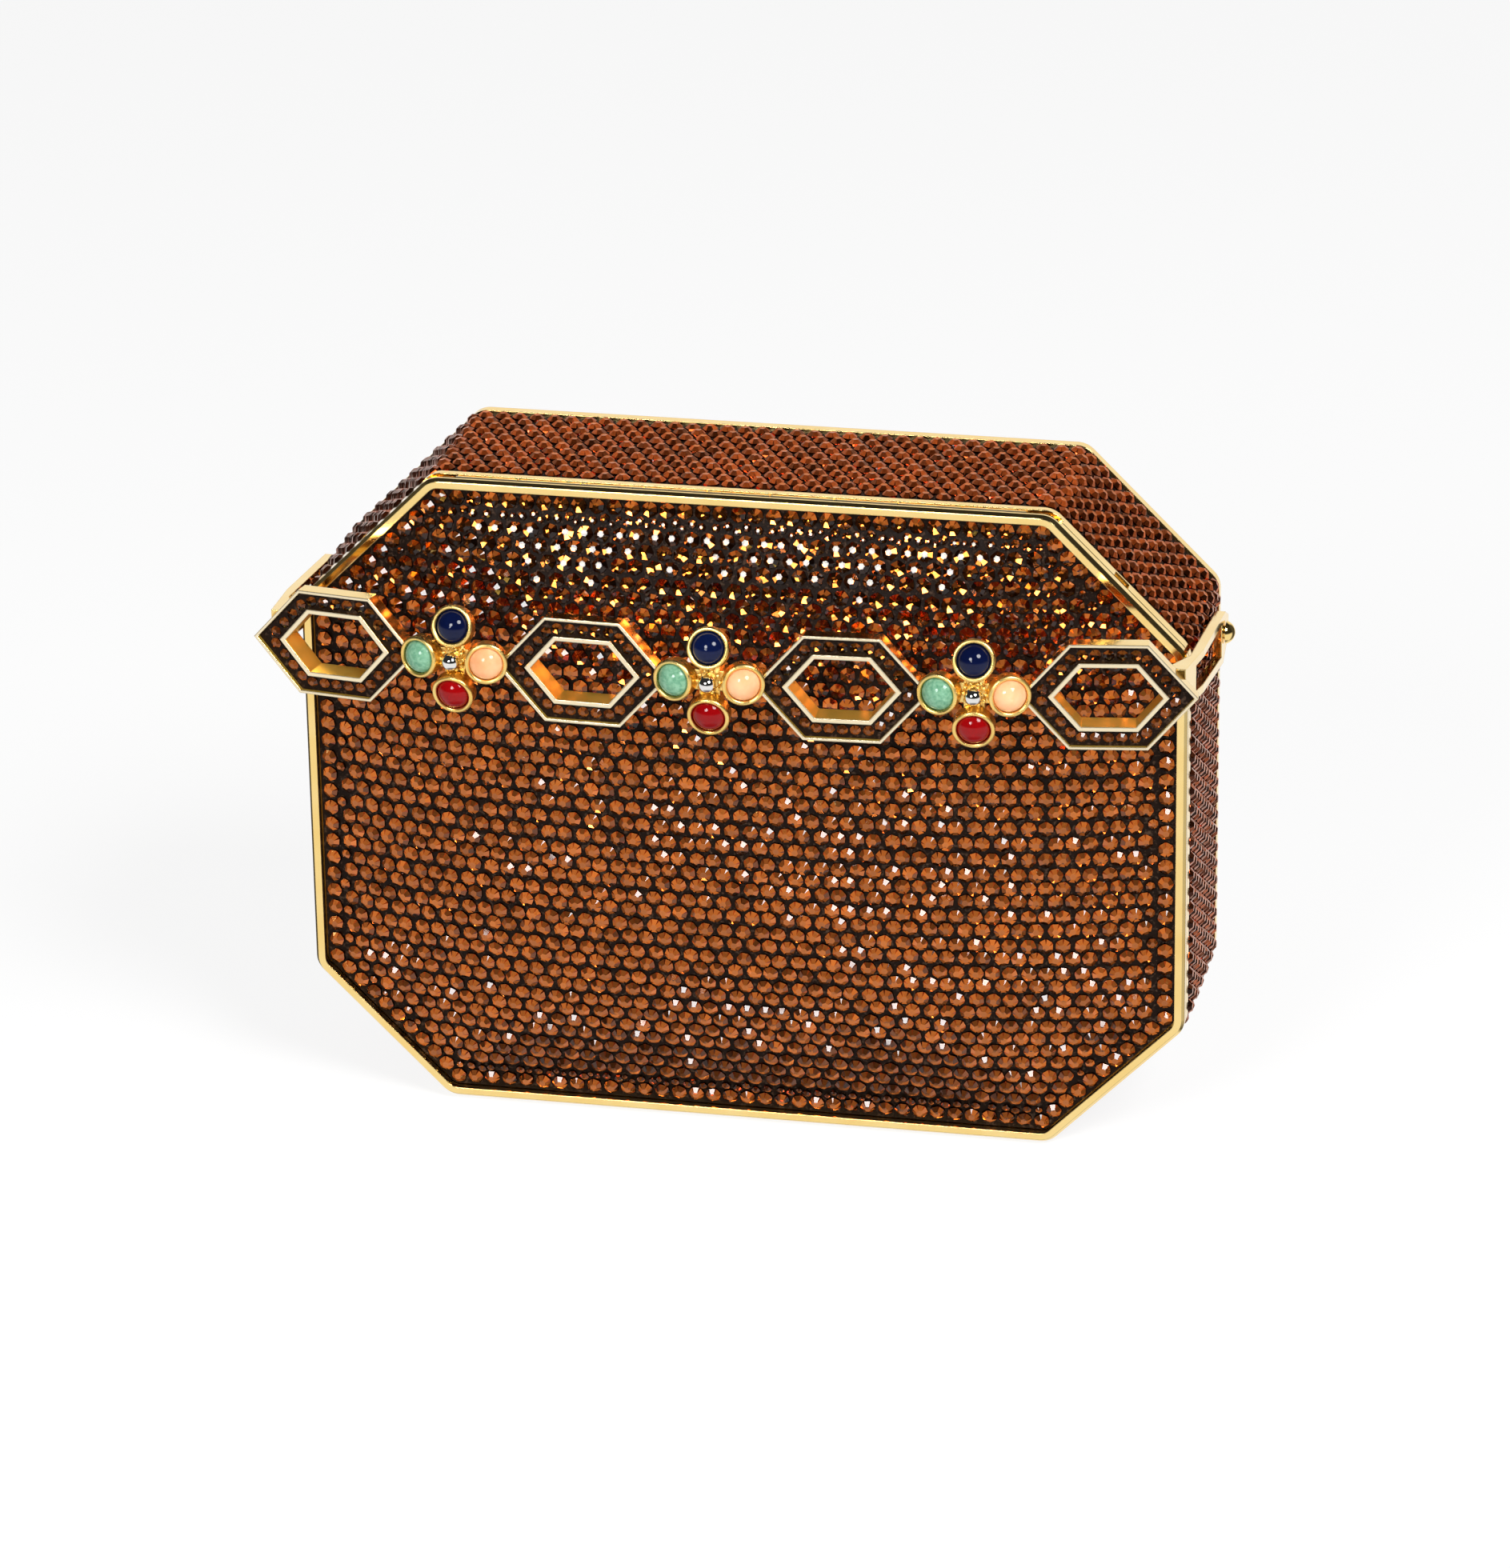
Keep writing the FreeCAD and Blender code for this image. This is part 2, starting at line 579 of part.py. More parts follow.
# Pivots: a domed stud riveted through the wall, and a washer between stones and arm
def make_pivots():
    foot = side - wall_inner
    head = arm_outer + HEAD_GAP
    shank = head - foot
    profile = [(0, 0), (STUD_RADIUS, 0), (STUD_RADIUS, shank)]
    profile += [(STUD_HEAD_RADIUS, shank), (0, shank + STUD_HEAD_HEIGHT)]
    stud = turned_solid(profile)
    stud.Placement = FreeCAD.Placement(
        Vec(foot, PIVOT_BEHIND_LIP, pivot_z), FreeCAD.Rotation(Vec(0, 1, 0), 90))
    start = Vec(side + STONE_PROUD, PIVOT_BEHIND_LIP, pivot_z)
    width = ARM_GAP - WASHER_GAP
    washer = Part.makeCylinder(WASHER_RADIUS, width, start, Vec(1, 0, 0))
    washer = washer.cut(Part.makeCylinder(STUD_RADIUS, width, start, Vec(1, 0, 0)))
    parts["pivot_stud_right"] = stud
    parts["pivot_stud_left"] = mirrored(stud)
    parts["pivot_washer_right"] = washer
    parts["pivot_washer_left"] = mirrored(washer)


make_case()
make_chain_eyes()
make_cover()
make_hinge()
make_arms(make_bar())
make_pivots()

# Move the origin to the bottom centre of the whole box and write each piece
whole = Part.makeCompound(list(parts.values())).optimalBoundingBox(False, False)
shift = Vec(-(whole.XMin + whole.XMax) / 2, -(whole.YMin + whole.YMax) / 2, -whole.ZMin)
os.makedirs("parts", exist_ok=True)
for name, shape in parts.items():
    shape.translate(shift)
    shape.exportStep("parts/%s.step" % name)
    state = "valid" if shape.isValid() else "NOT VALID"
    print("%-22s %2d solids %9.1f mm3 %s" % (name, len(shape.Solids), shape.Volume, state))
print("box %.2f x %.2f x %.2f" % (whole.XLength, whole.YLength, whole.ZLength))
print("lip plane y %.3f, mid-height z %.3f" % (shift.y, shift.z))
print("hinge axis y %.3f z %.3f" % (hinge_y + shift.y, hinge_z + shift.z))
print("pivot axis y %.3f z %.3f" % (PIVOT_BEHIND_LIP + shift.y, pivot_z + shift.z))
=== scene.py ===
"""Crystal evening box with a jewelled closing bar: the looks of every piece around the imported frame."""
import math
import random

import bmesh
import bpy
import numpy as np
from mathutils import Matrix, Quaternion, Vector
from mathutils.bvhtree import BVHTree
from mathutils.kdtree import KDTree


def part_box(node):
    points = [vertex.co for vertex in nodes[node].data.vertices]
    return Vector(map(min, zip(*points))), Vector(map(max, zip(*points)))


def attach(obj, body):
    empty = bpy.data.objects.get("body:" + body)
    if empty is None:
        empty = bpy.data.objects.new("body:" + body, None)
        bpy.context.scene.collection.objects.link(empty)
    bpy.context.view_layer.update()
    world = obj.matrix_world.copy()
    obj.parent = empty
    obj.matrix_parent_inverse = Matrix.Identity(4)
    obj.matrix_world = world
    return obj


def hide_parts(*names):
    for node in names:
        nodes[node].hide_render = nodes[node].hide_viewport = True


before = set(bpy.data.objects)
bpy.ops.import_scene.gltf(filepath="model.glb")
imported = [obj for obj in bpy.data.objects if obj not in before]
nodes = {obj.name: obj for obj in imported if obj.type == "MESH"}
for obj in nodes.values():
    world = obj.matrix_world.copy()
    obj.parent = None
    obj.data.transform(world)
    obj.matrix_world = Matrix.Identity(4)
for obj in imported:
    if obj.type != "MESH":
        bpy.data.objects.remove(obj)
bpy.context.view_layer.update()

# Viewpoint
# A long lens a little over a metre away looks down on the box from its right front.
# The picture is 1887 by 1960 pixels, so the sensor's long side is the picture's height.
PICTURE_HEIGHT = 1960
FOCAL_PIXELS = 8589.8
SENSOR = 36.0
VIEW_AZIMUTH = math.radians(12.592)
VIEW_ELEVATION = math.radians(22.73)
VIEW_ROLL = math.radians(-0.921)
VIEW_DISTANCE = 1.1612
VIEW_AIM = Vector((-0.000699, 0.005361, 0.056564))


def direction(azimuth, elevation):
    """Unit vector from the box towards a place round it; azimuth 0 is straight in front."""
    flat = math.cos(elevation)
    return Vector((math.sin(azimuth) * flat, -math.cos(azimuth) * flat, math.sin(elevation)))


def put_in_scene(name, data):
    """New object in the scene that holds a camera, a lamp or a mesh."""
    made = bpy.data.objects.new(name, data)
    bpy.context.scene.collection.objects.link(made)
    return made


viewpoint = put_in_scene("viewpoint", bpy.data.cameras.new("viewpoint"))
towards_camera = direction(VIEW_AZIMUTH, VIEW_ELEVATION)
viewpoint.data.sensor_width = SENSOR
viewpoint.data.lens = SENSOR * FOCAL_PIXELS / PICTURE_HEIGHT
viewpoint.location = VIEW_AIM + towards_camera * VIEW_DISTANCE
viewpoint.rotation_mode = "QUATERNION"
level_view = (-towards_camera).to_track_quat("-Z", "Y")
viewpoint.rotation_quaternion = level_view @ Quaternion((0, 0, 1), VIEW_ROLL)
bpy.context.scene.camera = viewpoint

# Studio floor
# A wide sheet of white paper under the box: white to the eye, with a soft shadow where the box stands.
# Polished metal and glass look past it into the studio's own gradient below.
FLOOR_HALF = 4.0
PAPER = (0.86, 0.86, 0.86, 1)
PAPER_ROUGHNESS = 0.9
PAPER_GLOW = 1.06
PAPER_GLOW_SHARE = 0.8


def new_material(name):
    """Procedural material, with its node tree and its surface shader."""
    made = bpy.data.materials.new(name)
    made.use_nodes = True
    tree = made.node_tree
    return made, tree, tree.nodes["Principled BSDF"]


def mirrored_ray(tree):
    """Socket that is 1 for rays thrown on by polished metal or passed on by glass."""
    path = tree.nodes.new("ShaderNodeLightPath")
    either = tree.nodes.new("ShaderNodeMath")
    either.operation = "MAXIMUM"
    tree.links.new(path.outputs["Is Glossy Ray"], either.inputs[0])
    tree.links.new(path.outputs["Is Transmission Ray"], either.inputs[1])
    return either.outputs[0]


def blend_shaders(tree, value, first, second):
    """Mix of two shaders by a value from 0 to 1."""
    mix = tree.nodes.new("ShaderNodeMixShader")
    tree.links.new(value, mix.inputs[0])
    tree.links.new(first, mix.inputs[1])
    tree.links.new(second, mix.inputs[2])
    return mix.outputs[0]


paper, tree, shader = new_material("studio_paper")
shader.inputs["Base Color"].default_value = PAPER
shader.inputs["Roughness"].default_value = PAPER_ROUGHNESS
glow = tree.nodes.new("ShaderNodeEmission")
glow.inputs["Strength"].default_value = PAPER_GLOW
eye = tree.nodes.new("ShaderNodeLightPath")
share = tree.nodes.new("ShaderNodeMath")
share.operation = "MULTIPLY"
share.inputs[1].default_value = PAPER_GLOW_SHARE
tree.links.new(eye.outputs["Is Camera Ray"], share.inputs[0])
lit = blend_shaders(tree, share.outputs[0], shader.outputs[0], glow.outputs[0])
clear = tree.nodes.new("ShaderNodeBsdfTransparent")
seen = blend_shaders(tree, mirrored_ray(tree), lit, clear.outputs[0])
tree.links.new(seen, tree.nodes["Material Output"].inputs["Surface"])
sheet = bpy.data.meshes.new("floor")
sheet_corners = [(x * FLOOR_HALF, y * FLOOR_HALF, 0) for x, y in ((-1, -1), (1, -1), (1, 1), (-1, 1))]
sheet.from_pydata(sheet_corners, [], [(0, 1, 2, 3)])
sheet.materials.append(paper)
floor = put_in_scene("floor", sheet)

# Studio light
# Two round softboxes stand left and right of the camera, and a white sweep rises behind the box.
# The room overhead and far back at both sides is dim, so facets and polished edges have dark to show.
LAMP_DISTANCE = 1.25
LAMP_GLOW = 24
# Azimuth and elevation in degrees, and width; both lamps glow equally bright.
LAMPS = {"softbox_left": (-14, 27, 0.38), "softbox_right": (46, 42, 0.48)}
AMBIENT = 0.18
DIM = 0.03
FOOT_SHADE = 0.20
SHADE_FROM = math.sin(math.radians(-76))
SHADE_TO = math.sin(math.radians(-52))
FRONT_LIGHT_TO = math.sin(math.radians(-10))
FRONT_DARK_FROM = math.sin(math.radians(2))
BACK_LIGHT_TO = math.sin(math.radians(32))
BACK_DARK_FROM = math.sin(math.radians(50))
SIDE_SHADE = 0.08
SIDE_LIGHT_TO = 0.36
SIDE_DARK_FROM = 0.62
FRONT_TO = 0.0
REAR_FROM = 0.35

for name, (azimuth, elevation, across) in LAMPS.items():
    lamp = bpy.data.lights.new(name, "AREA")
    lamp.shape = "DISK"
    lamp.size = across
    disc_area = math.pi * (across / 2) ** 2
    lamp.energy = LAMP_GLOW * math.pi * disc_area
    towards = direction(math.radians(azimuth), math.radians(elevation))
    holder = put_in_scene(name, lamp)
    holder.location = VIEW_AIM + towards * LAMP_DISTANCE
    holder.rotation_mode = "QUATERNION"
    holder.rotation_quaternion = (-towards).to_track_quat("-Z", "Y")

world = bpy.data.worlds.new("studio_room")
bpy.context.scene.world = world
world.use_nodes = True
tree = world.node_tree
ambient = tree.nodes["Background"]
ambient.inputs["Strength"].default_value = AMBIENT
room = tree.nodes.new("ShaderNodeBackground")
white = tree.nodes.new("ShaderNodeBackground")
for background in (ambient, room, white):
    background.inputs["Color"].default_value = (1, 1, 1, 1)
place = tree.nodes.new("ShaderNodeTexCoord")
split = tree.nodes.new("ShaderNodeSeparateXYZ")
tree.links.new(place.outputs["Generated"], split.inputs[0])


def step_between(tree, value, start, end, before, after, kind="LINEAR"):
    """Value that goes from before to after while another goes from start to end."""
    step = tree.nodes.new("ShaderNodeMapRange")
    step.interpolation_type = kind
    for socket, number in zip(("From Min", "From Max", "To Min", "To Max"), (start, end, before, after)):
        step.inputs[socket].default_value = number
    tree.links.new(value, step.inputs["Value"])
    return step.outputs[0]


def fade(value, start, end, before, after):
    """Smooth change of the room's brightness while a value goes from start to end."""
    return step_between(world.node_tree, value, start, end, before, after, "SMOOTHSTEP")


def joined(operation, *values):
    """Brightness values of the room put together."""
    node = world.node_tree.nodes.new("ShaderNodeMath")
    node.operation = operation
    for socket, value in zip(node.inputs, values):
        world.node_tree.links.new(value, socket)
    return node.outputs[0]


height = split.outputs["Z"]
in_front = joined("MULTIPLY", fade(height, SHADE_FROM, SHADE_TO, FOOT_SHADE, 1),
                  fade(height, FRONT_LIGHT_TO, FRONT_DARK_FROM, 1, DIM))
sideways = joined("ABSOLUTE", split.outputs["X"])
behind = joined("MULTIPLY", fade(sideways, SIDE_LIGHT_TO, SIDE_DARK_FROM, 1, SIDE_SHADE),
                fade(height, BACK_LIGHT_TO, BACK_DARK_FROM, 1, DIM))
rear = fade(split.outputs["Y"], FRONT_TO, REAR_FROM, 0, 1)
fore = fade(split.outputs["Y"], FRONT_TO, REAR_FROM, 1, 0)
brightness = joined("ADD", joined("MULTIPLY", in_front, fore), joined("MULTIPLY", behind, rear))
tree.links.new(brightness, room.inputs["Strength"])
eye = tree.nodes.new("ShaderNodeLightPath")
lit = blend_shaders(tree, mirrored_ray(tree), ambient.outputs[0], room.outputs[0])
seen = blend_shaders(tree, eye.outputs["Is Camera Ray"], lit, white.outputs[0])
tree.links.new(seen, tree.nodes["World Output"].inputs["Surface"])
bpy.context.scene.view_settings.view_transform = "Standard"

# Brass shell of the case, back plate and cover plate
# Thin rolled brass sheet, bent into the eight-sided wall and pressed into the two domed plates.
# Almost all of it is hidden by stones and lining, so it stays as it was rolled.
SHEET_BRASS = (0.55, 0.38, 0.13, 1)
SHEET_TARNISH = (0.34, 0.21, 0.07, 1)
TARNISH_CLOUDS = 60
ROLLING_LINES = 900
ROLLING_STRETCH = (1, 1, 12)
ROLLING_DEPTH = 0.00002
NOISE_LOW = 0.3
NOISE_HIGH = 0.7


def noise_on(tree, scale, detail=3.0, stretch=(1, 1, 1)):
    """Noise fixed to the piece, with features of about 1 / scale metres."""
    place = tree.nodes.new("ShaderNodeTexCoord")
    mapping = tree.nodes.new("ShaderNodeMapping")
    mapping.inputs["Scale"].default_value = stretch
    noise = tree.nodes.new("ShaderNodeTexNoise")
    noise.inputs["Scale"].default_value = scale
    noise.inputs["Detail"].default_value = detail
    tree.links.new(place.outputs["Object"], mapping.inputs[0])
    tree.links.new(mapping.outputs[0], noise.inputs["Vector"])
    return noise.outputs["Fac"]


def spread(tree, value, low, high):
    """Noise value spread between two numbers."""
    return step_between(tree, value, NOISE_LOW, NOISE_HIGH, low, high)


def blend_colours(tree, value, first, second):
    """Colour between two, by a value from 0 to 1; each is a colour or a socket."""
    mix = tree.nodes.new("ShaderNodeMix")
    mix.data_type = "RGBA"
    tree.links.new(value, mix.inputs["Factor"])
    for socket, colour in ((mix.inputs[6], first), (mix.inputs[7], second)):
        if isinstance(colour, tuple):
            socket.default_value = colour
        else:
            tree.links.new(colour, socket)
    return mix.outputs[2]


def bump_on(tree, shader, height, distance, strength=1.0, rounded=None):
    """Raise the surface by a height value; rounded softens the edges by that radius."""
    bump = tree.nodes.new("ShaderNodeBump")
    bump.inputs["Distance"].default_value = distance
    bump.inputs["Strength"].default_value = strength
    tree.links.new(height, bump.inputs["Height"])
    if rounded:
        soft = tree.nodes.new("ShaderNodeBevel")
        soft.inputs["Radius"].default_value = rounded
        tree.links.new(soft.outputs[0], bump.inputs["Normal"])
    tree.links.new(bump.outputs[0], shader.inputs["Normal"])


def dress(names, material):
    """Give CAD pieces a finish."""
    for name in names:
        nodes[name].data.materials.clear()
        nodes[name].data.materials.append(material)


sheet_brass, tree, shader = new_material("sheet_brass")
shader.inputs["Metallic"].default_value = 1.0
rolled = noise_on(tree, ROLLING_LINES, 4, ROLLING_STRETCH)
tarnish = spread(tree, noise_on(tree, TARNISH_CLOUDS), 0, 1)
colour = blend_colours(tree, tarnish, SHEET_BRASS, SHEET_TARNISH)
tree.links.new(colour, shader.inputs["Base Color"])
tree.links.new(spread(tree, rolled, 0.28, 0.45), shader.inputs["Roughness"])
bump_on(tree, shader, rolled, ROLLING_DEPTH)
dress(("case_shell", "case_back_panel", "cover_shell"), sheet_brass)

# Gold rims of the case
# Two polished brass strips, gold plated, soldered round the front and the back edge of the wall.
# Handling has left fine scratches and a slightly uneven polish along them.
GOLD = (0.95, 0.71, 0.30, 1)
GOLD_DEEP = (0.92, 0.64, 0.22, 1)
GOLD_SMOOTH = 0.07
GOLD_RUBBED = 0.14
GOLD_CLOUDS = 140
GOLD_SCRATCHES = 700
GOLD_RIPPLES = 900
GOLD_UNEVEN = 0.000004
GOLD_UNEVEN_SHARE = 0.5
FRAME_EDGE = 0.00022
FITTING_EDGE = 0.0001


def gold_plate(name, bright, deep, edge_radius, smooth=GOLD_SMOOTH, rubbed=GOLD_RUBBED, uneven=GOLD_UNEVEN):
    """Polished gold plate with a wavy polish, fine scratches and softened edges."""
    made, tree, shader = new_material(name)
    shader.inputs["Metallic"].default_value = 1.0
    cloud = spread(tree, noise_on(tree, GOLD_CLOUDS), 0, 1)
    tree.links.new(blend_colours(tree, cloud, bright, deep), shader.inputs["Base Color"])
    rubbing = spread(tree, noise_on(tree, GOLD_SCRATCHES, 5), smooth, rubbed)
    tree.links.new(rubbing, shader.inputs["Roughness"])
    bump_on(tree, shader, noise_on(tree, GOLD_RIPPLES), uneven, GOLD_UNEVEN_SHARE, edge_radius)
    return made


rim_gold = gold_plate("rim_gold", GOLD, GOLD_DEEP, FRAME_EDGE)
dress(("case_front_rim", "case_back_rim"), rim_gold)

# Crystals of the band
# Round flat-backed brown glass crystals, foiled behind, glued in rows that run round the case.
# Each has a small flat table, six broad facets with a narrow one between, and a steep side in the glue.
CORNER_CUT = 0.0228
CORNER_RADIUS = 0.004
CRYSTAL_RADIUS = 0.00145
CRYSTAL_PITCH = 0.0030
ROW_PITCH = 0.0026
TABLE_MIDDLE = 0.20
TABLE_SHARE = 0.40
CROWN_SHARE = 0.90
CROWN_DROP = 0.43
DEPTH_SHARE = 0.80
STAR_HALF_TURN = math.radians(8)
GLUE_SUNK = 0.00090
TILT_DEGREES = 4.0
CROWN_FACETS = 6
# The glass bends light so that a foiled crystal mirrors like a hollow: the degrees by which each
# kind of facet looks leaned towards the middle, and how much that differs from facet to facet.
FACET_LEANS = {"middle": (3, 2), "table": (7, 3), "kite": (12, 6),
               "star": (30, 7), "side": (-75, 3), "foot": (180, 0)}
BAND_STONE = {"middle": (0.50, 0.125, 0.020), "table": (0.50, 0.125, 0.020),
              "kite": (0.40, 0.070, 0.010), "star": (0.35, 0.060, 0.010),
              "side": (0.16, 0.025, 0.005), "foot": (0.03, 0.010, 0.004)}
BAND_SHINE = 0.2
BAND_EDGE_TINT = (0.90, 0.70, 0.60, 1)
BAND_SEED = 11
STONE_TONE_SPREAD = 0.13
STONE_TONE_LEAST = 0.6
STONE_TONE_MOST = 1.4
BRIGHTEST_TINT = 0.95
FACET_TONES = (0.35, 0.55, 0.9, 1.0, 1.1, 1.2)
GLUE = (0.008, 0.003, 0.001, 1)
# lighter flecks in the dark glue: painted glints
GLUE_PAINTED_GLINT = (0.055, 0.032, 0.020, 1)
GLUE_GRAIN = 1500
GLUE_GRAIN_HEIGHT = 0.00008
GLUE_GLINT_LEAST = -1.4
OUTER_FACE_LEAST = 0.3
WELD = 1e-6
HALF_CORNER = math.radians(22.5)
STUD_RADIUS = 0.0012
SIDE_FACING_LEAST = 0.9


def crystal_shape():
    """Points of a crystal of radius 1, table at height 0, and its facets (corners, kind, bearing)."""
    sides = CROWN_FACETS
    ring = 2 * sides
    turn = 2 * math.pi / sides
    points = [(0, 0, 0)]
    corners = [i * turn for i in range(sides)]
    beside_corners = [a + step for a, after in zip(corners, corners[1:] + [2 * math.pi])
                      for step in (STAR_HALF_TURN, after - a - STAR_HALF_TURN)]
    rings = ((corners, TABLE_MIDDLE, 0), (corners, TABLE_SHARE, 0),
             (beside_corners, CROWN_SHARE, -CROWN_DROP), (corners, 1, -DEPTH_SHARE))
    for angles, radius, height in rings:
        points += [(radius * math.cos(a), radius * math.sin(a), height) for a in angles]
    middle, table, crown, foot = 1, 1 + sides, 1 + 2 * sides, 1 + 2 * sides + ring
    facets = []
    for i in range(sides):
        after = (i + 1) % sides
        before_crown = crown + (2 * i - 1) % ring
        left = crown + 2 * i
        right = left + 1
        between = (i + 0.5) * turn
        facets.append(((0, middle + i, middle + after), "middle", between))
        facets.append(((middle + i, table + i, table + after, middle + after), "table", between))
        facets.append(((table + i, left, right, table + after), "kite", between))
        facets.append(((table + i, before_crown, left), "star", i * turn))
        facets.append(((before_crown, foot + i, left), "side", i * turn))
        facets.append(((left, foot + i, foot + after, right), "side", between))
    facets.append((tuple(foot + k for k in reversed(range(sides))), "foot", 0))
    return np.array(points), facets


def crystal_glass(name, clear_shine, edge_tint):
    """Foiled glass: each facet throws back its own colour its own way under a bright clear surface."""
    made, tree, shader = new_material(name)
    tint = tree.nodes.new("ShaderNodeAttribute")
    tint.attribute_name = "facet_colour"
    tree.links.new(tint.outputs["Color"], shader.inputs["Base Color"])
    facing = tree.nodes.new("ShaderNodeAttribute")
    facing.attribute_name = "facet_facing"
    to_world = tree.nodes.new("ShaderNodeVectorTransform")
    to_world.vector_type = "NORMAL"
    to_world.convert_from = "OBJECT"
    to_world.convert_to = "WORLD"
    tree.links.new(facing.outputs["Vector"], to_world.inputs[0])
    tree.links.new(to_world.outputs[0], shader.inputs["Normal"])
    shader.inputs["Metallic"].default_value = 1.0
    shader.inputs["Specular Tint"].default_value = edge_tint
    shader.inputs["Coat Weight"].default_value = clear_shine
    shader.inputs["Coat Roughness"].default_value = 0.03
    shader.inputs["Coat IOR"].default_value = 1.55
    tree.links.new(spread(tree, noise_on(tree, 2500), 0.05, 0.12), shader.inputs["Roughness"])
    return made


def set_crystals(name, seats, colours, glass, seed):
    """One mesh of crystals; a seat is a table's middle, the way it faces and the crystal's radius."""
    draw = random.Random(seed)
    points, facets = crystal_shape()
    all_points = []
    all_facets = []
    tints = []
    facings = []
    for number, (seat, normal, radius) in enumerate(seats):
        lean = math.radians(TILT_DEGREES) * math.sqrt(draw.random())
        sway = Quaternion(normal.orthogonal().normalized(), lean)
        up = Quaternion(normal, draw.random() * 2 * math.pi) @ (sway @ normal)
        spin = Quaternion((0, 0, 1), draw.random() * 2 * math.pi)
        turn = np.array((up.to_track_quat("Z", "Y") @ spin).to_matrix())
        all_points.append(points @ turn.T * radius + np.array(seat))
        first = number * len(points)
        tone = min(max(draw.gauss(1.0, STONE_TONE_SPREAD), STONE_TONE_LEAST), STONE_TONE_MOST)
        own_facings = []
        for corners, kind, bearing in facets:
            all_facets.append(tuple(first + i for i in corners))
            share = tone * draw.choice(FACET_TONES) if kind in ("kite", "star") else tone
            tints.append([min(c * share, BRIGHTEST_TINT) for c in colours[kind]])
            tip = math.radians(draw.gauss(*FACET_LEANS[kind]))
            inward = -math.sin(tip)
            own_facings.append((inward * math.cos(bearing), inward * math.sin(bearing), math.cos(tip)))
        facings.append(np.array(own_facings) @ turn.T)
    mesh = bpy.data.meshes.new(name)
    mesh.from_pydata(np.concatenate(all_points).tolist(), [], all_facets)
    colour_layer = mesh.attributes.new("facet_colour", "FLOAT_COLOR", "FACE")
    rgba = np.ones((len(tints), 4), np.float32)
    rgba[:, :3] = tints
    colour_layer.data.foreach_set("color", rgba.ravel())
    facing_layer = mesh.attributes.new("facet_facing", "FLOAT_VECTOR", "FACE")
    facing_layer.data.foreach_set("vector", np.concatenate(facings).astype(np.float32).ravel())
    mesh.materials.append(glass)
    return put_in_scene(name, mesh)


glue, tree, shader = new_material("dark_glue")
grain = noise_on(tree, GLUE_GRAIN, 4)
# lighter grain flecks in the glue are painted glints
painted_glints = spread(tree, grain, GLUE_GLINT_LEAST, 1)
tree.links.new(blend_colours(tree, painted_glints, GLUE, GLUE_PAINTED_GLINT), shader.inputs["Base Color"])
tree.links.new(spread(tree, grain, 0.45, 0.7), shader.inputs["Roughness"])
shader.inputs["Specular IOR Level"].default_value = 0.1
bump_on(tree, shader, grain, GLUE_GRAIN_HEIGHT)


def glue_bed(name, node, facing, body):
    """Dark glue between the stones: the CAD skin with its outer face sunk below their tables."""
    bed = bmesh.new()
    bed.from_mesh(nodes[node].data)
    bmesh.ops.remove_doubles(bed, verts=bed.verts, dist=WELD)
    bed.normal_update()
    moves = []
    for vertex in bed.verts:
        outward = facing(vertex.co)
        if vertex.normal.dot(outward) > OUTER_FACE_LEAST:
            moves.append((vertex, outward))
    for vertex, outward in moves:
        vertex.co -= outward * GLUE_SUNK
    mesh = bpy.data.meshes.new(name)
    bed.to_mesh(mesh)
    bed.free()
    mesh.materials.append(glue)
    made = put_in_scene(name, mesh)
    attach(made, body)


rim_low, rim_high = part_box("case_front_rim")
band_low, band_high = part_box("band_stones")
half_width = (rim_high.x - rim_low.x) / 2
half_height = (rim_high.z - rim_low.z) / 2
middle_z = (rim_high.z + rim_low.z) / 2
stone_proud = band_high.x - rim_high.x


def octagon_corners(inset):
    """Corners of the case's outline, moved inwards by inset, in order round it."""
    wide = half_width - inset
    high = half_height - inset
    cut = CORNER_CUT - inset * (2 - math.sqrt(2))
    quarter = [(wide, high - cut), (wide - cut, high)]
    upper = quarter + [(-x, z) for x, z in reversed(quarter)]
    return [Vector((x, 0, z)) for x, z in upper + [(-x, -z) for x, z in upper]]


def outline_walk(inset, radius):
    """Rounded outline in order: (length, "run", start, end, facing, facing) and
    (length, "arc", centre, radius, first facing, last facing)."""
    corners = octagon_corners(inset)
    runs = []
    reach = radius * math.tan(HALF_CORNER)
    for i, corner in enumerate(corners):
        before = (corner - corners[i - 1]).normalized()
        after = (corners[(i + 1) % len(corners)] - corner).normalized()
        inward = (after - before).normalized()
        centre = corner + inward * radius / math.cos(HALF_CORNER)
        start = corner - before * reach
        last = corners[i - 1] + before * reach
        outward = Vector((before.z, 0, -before.x))
        next_out = Vector((after.z, 0, -after.x))
        runs.append(((start - last).length, "run", last, start, outward, outward))
        runs.append((radius * 2 * HALF_CORNER, "arc", centre, radius, outward, next_out))
    return runs


def along_outline(runs, distance):
    """Point and outward direction at a distance along the rounded outline."""
    for length, kind, first, second, out_a, out_b in runs:
        if distance <= length:
            share = distance / length
            outward = out_a.slerp(out_b, share) if kind == "arc" else out_a
            if kind == "arc":
                return first + outward * second, outward
            return first.lerp(second, share), outward
        distance -= length
    return along_outline(runs, 0.0)


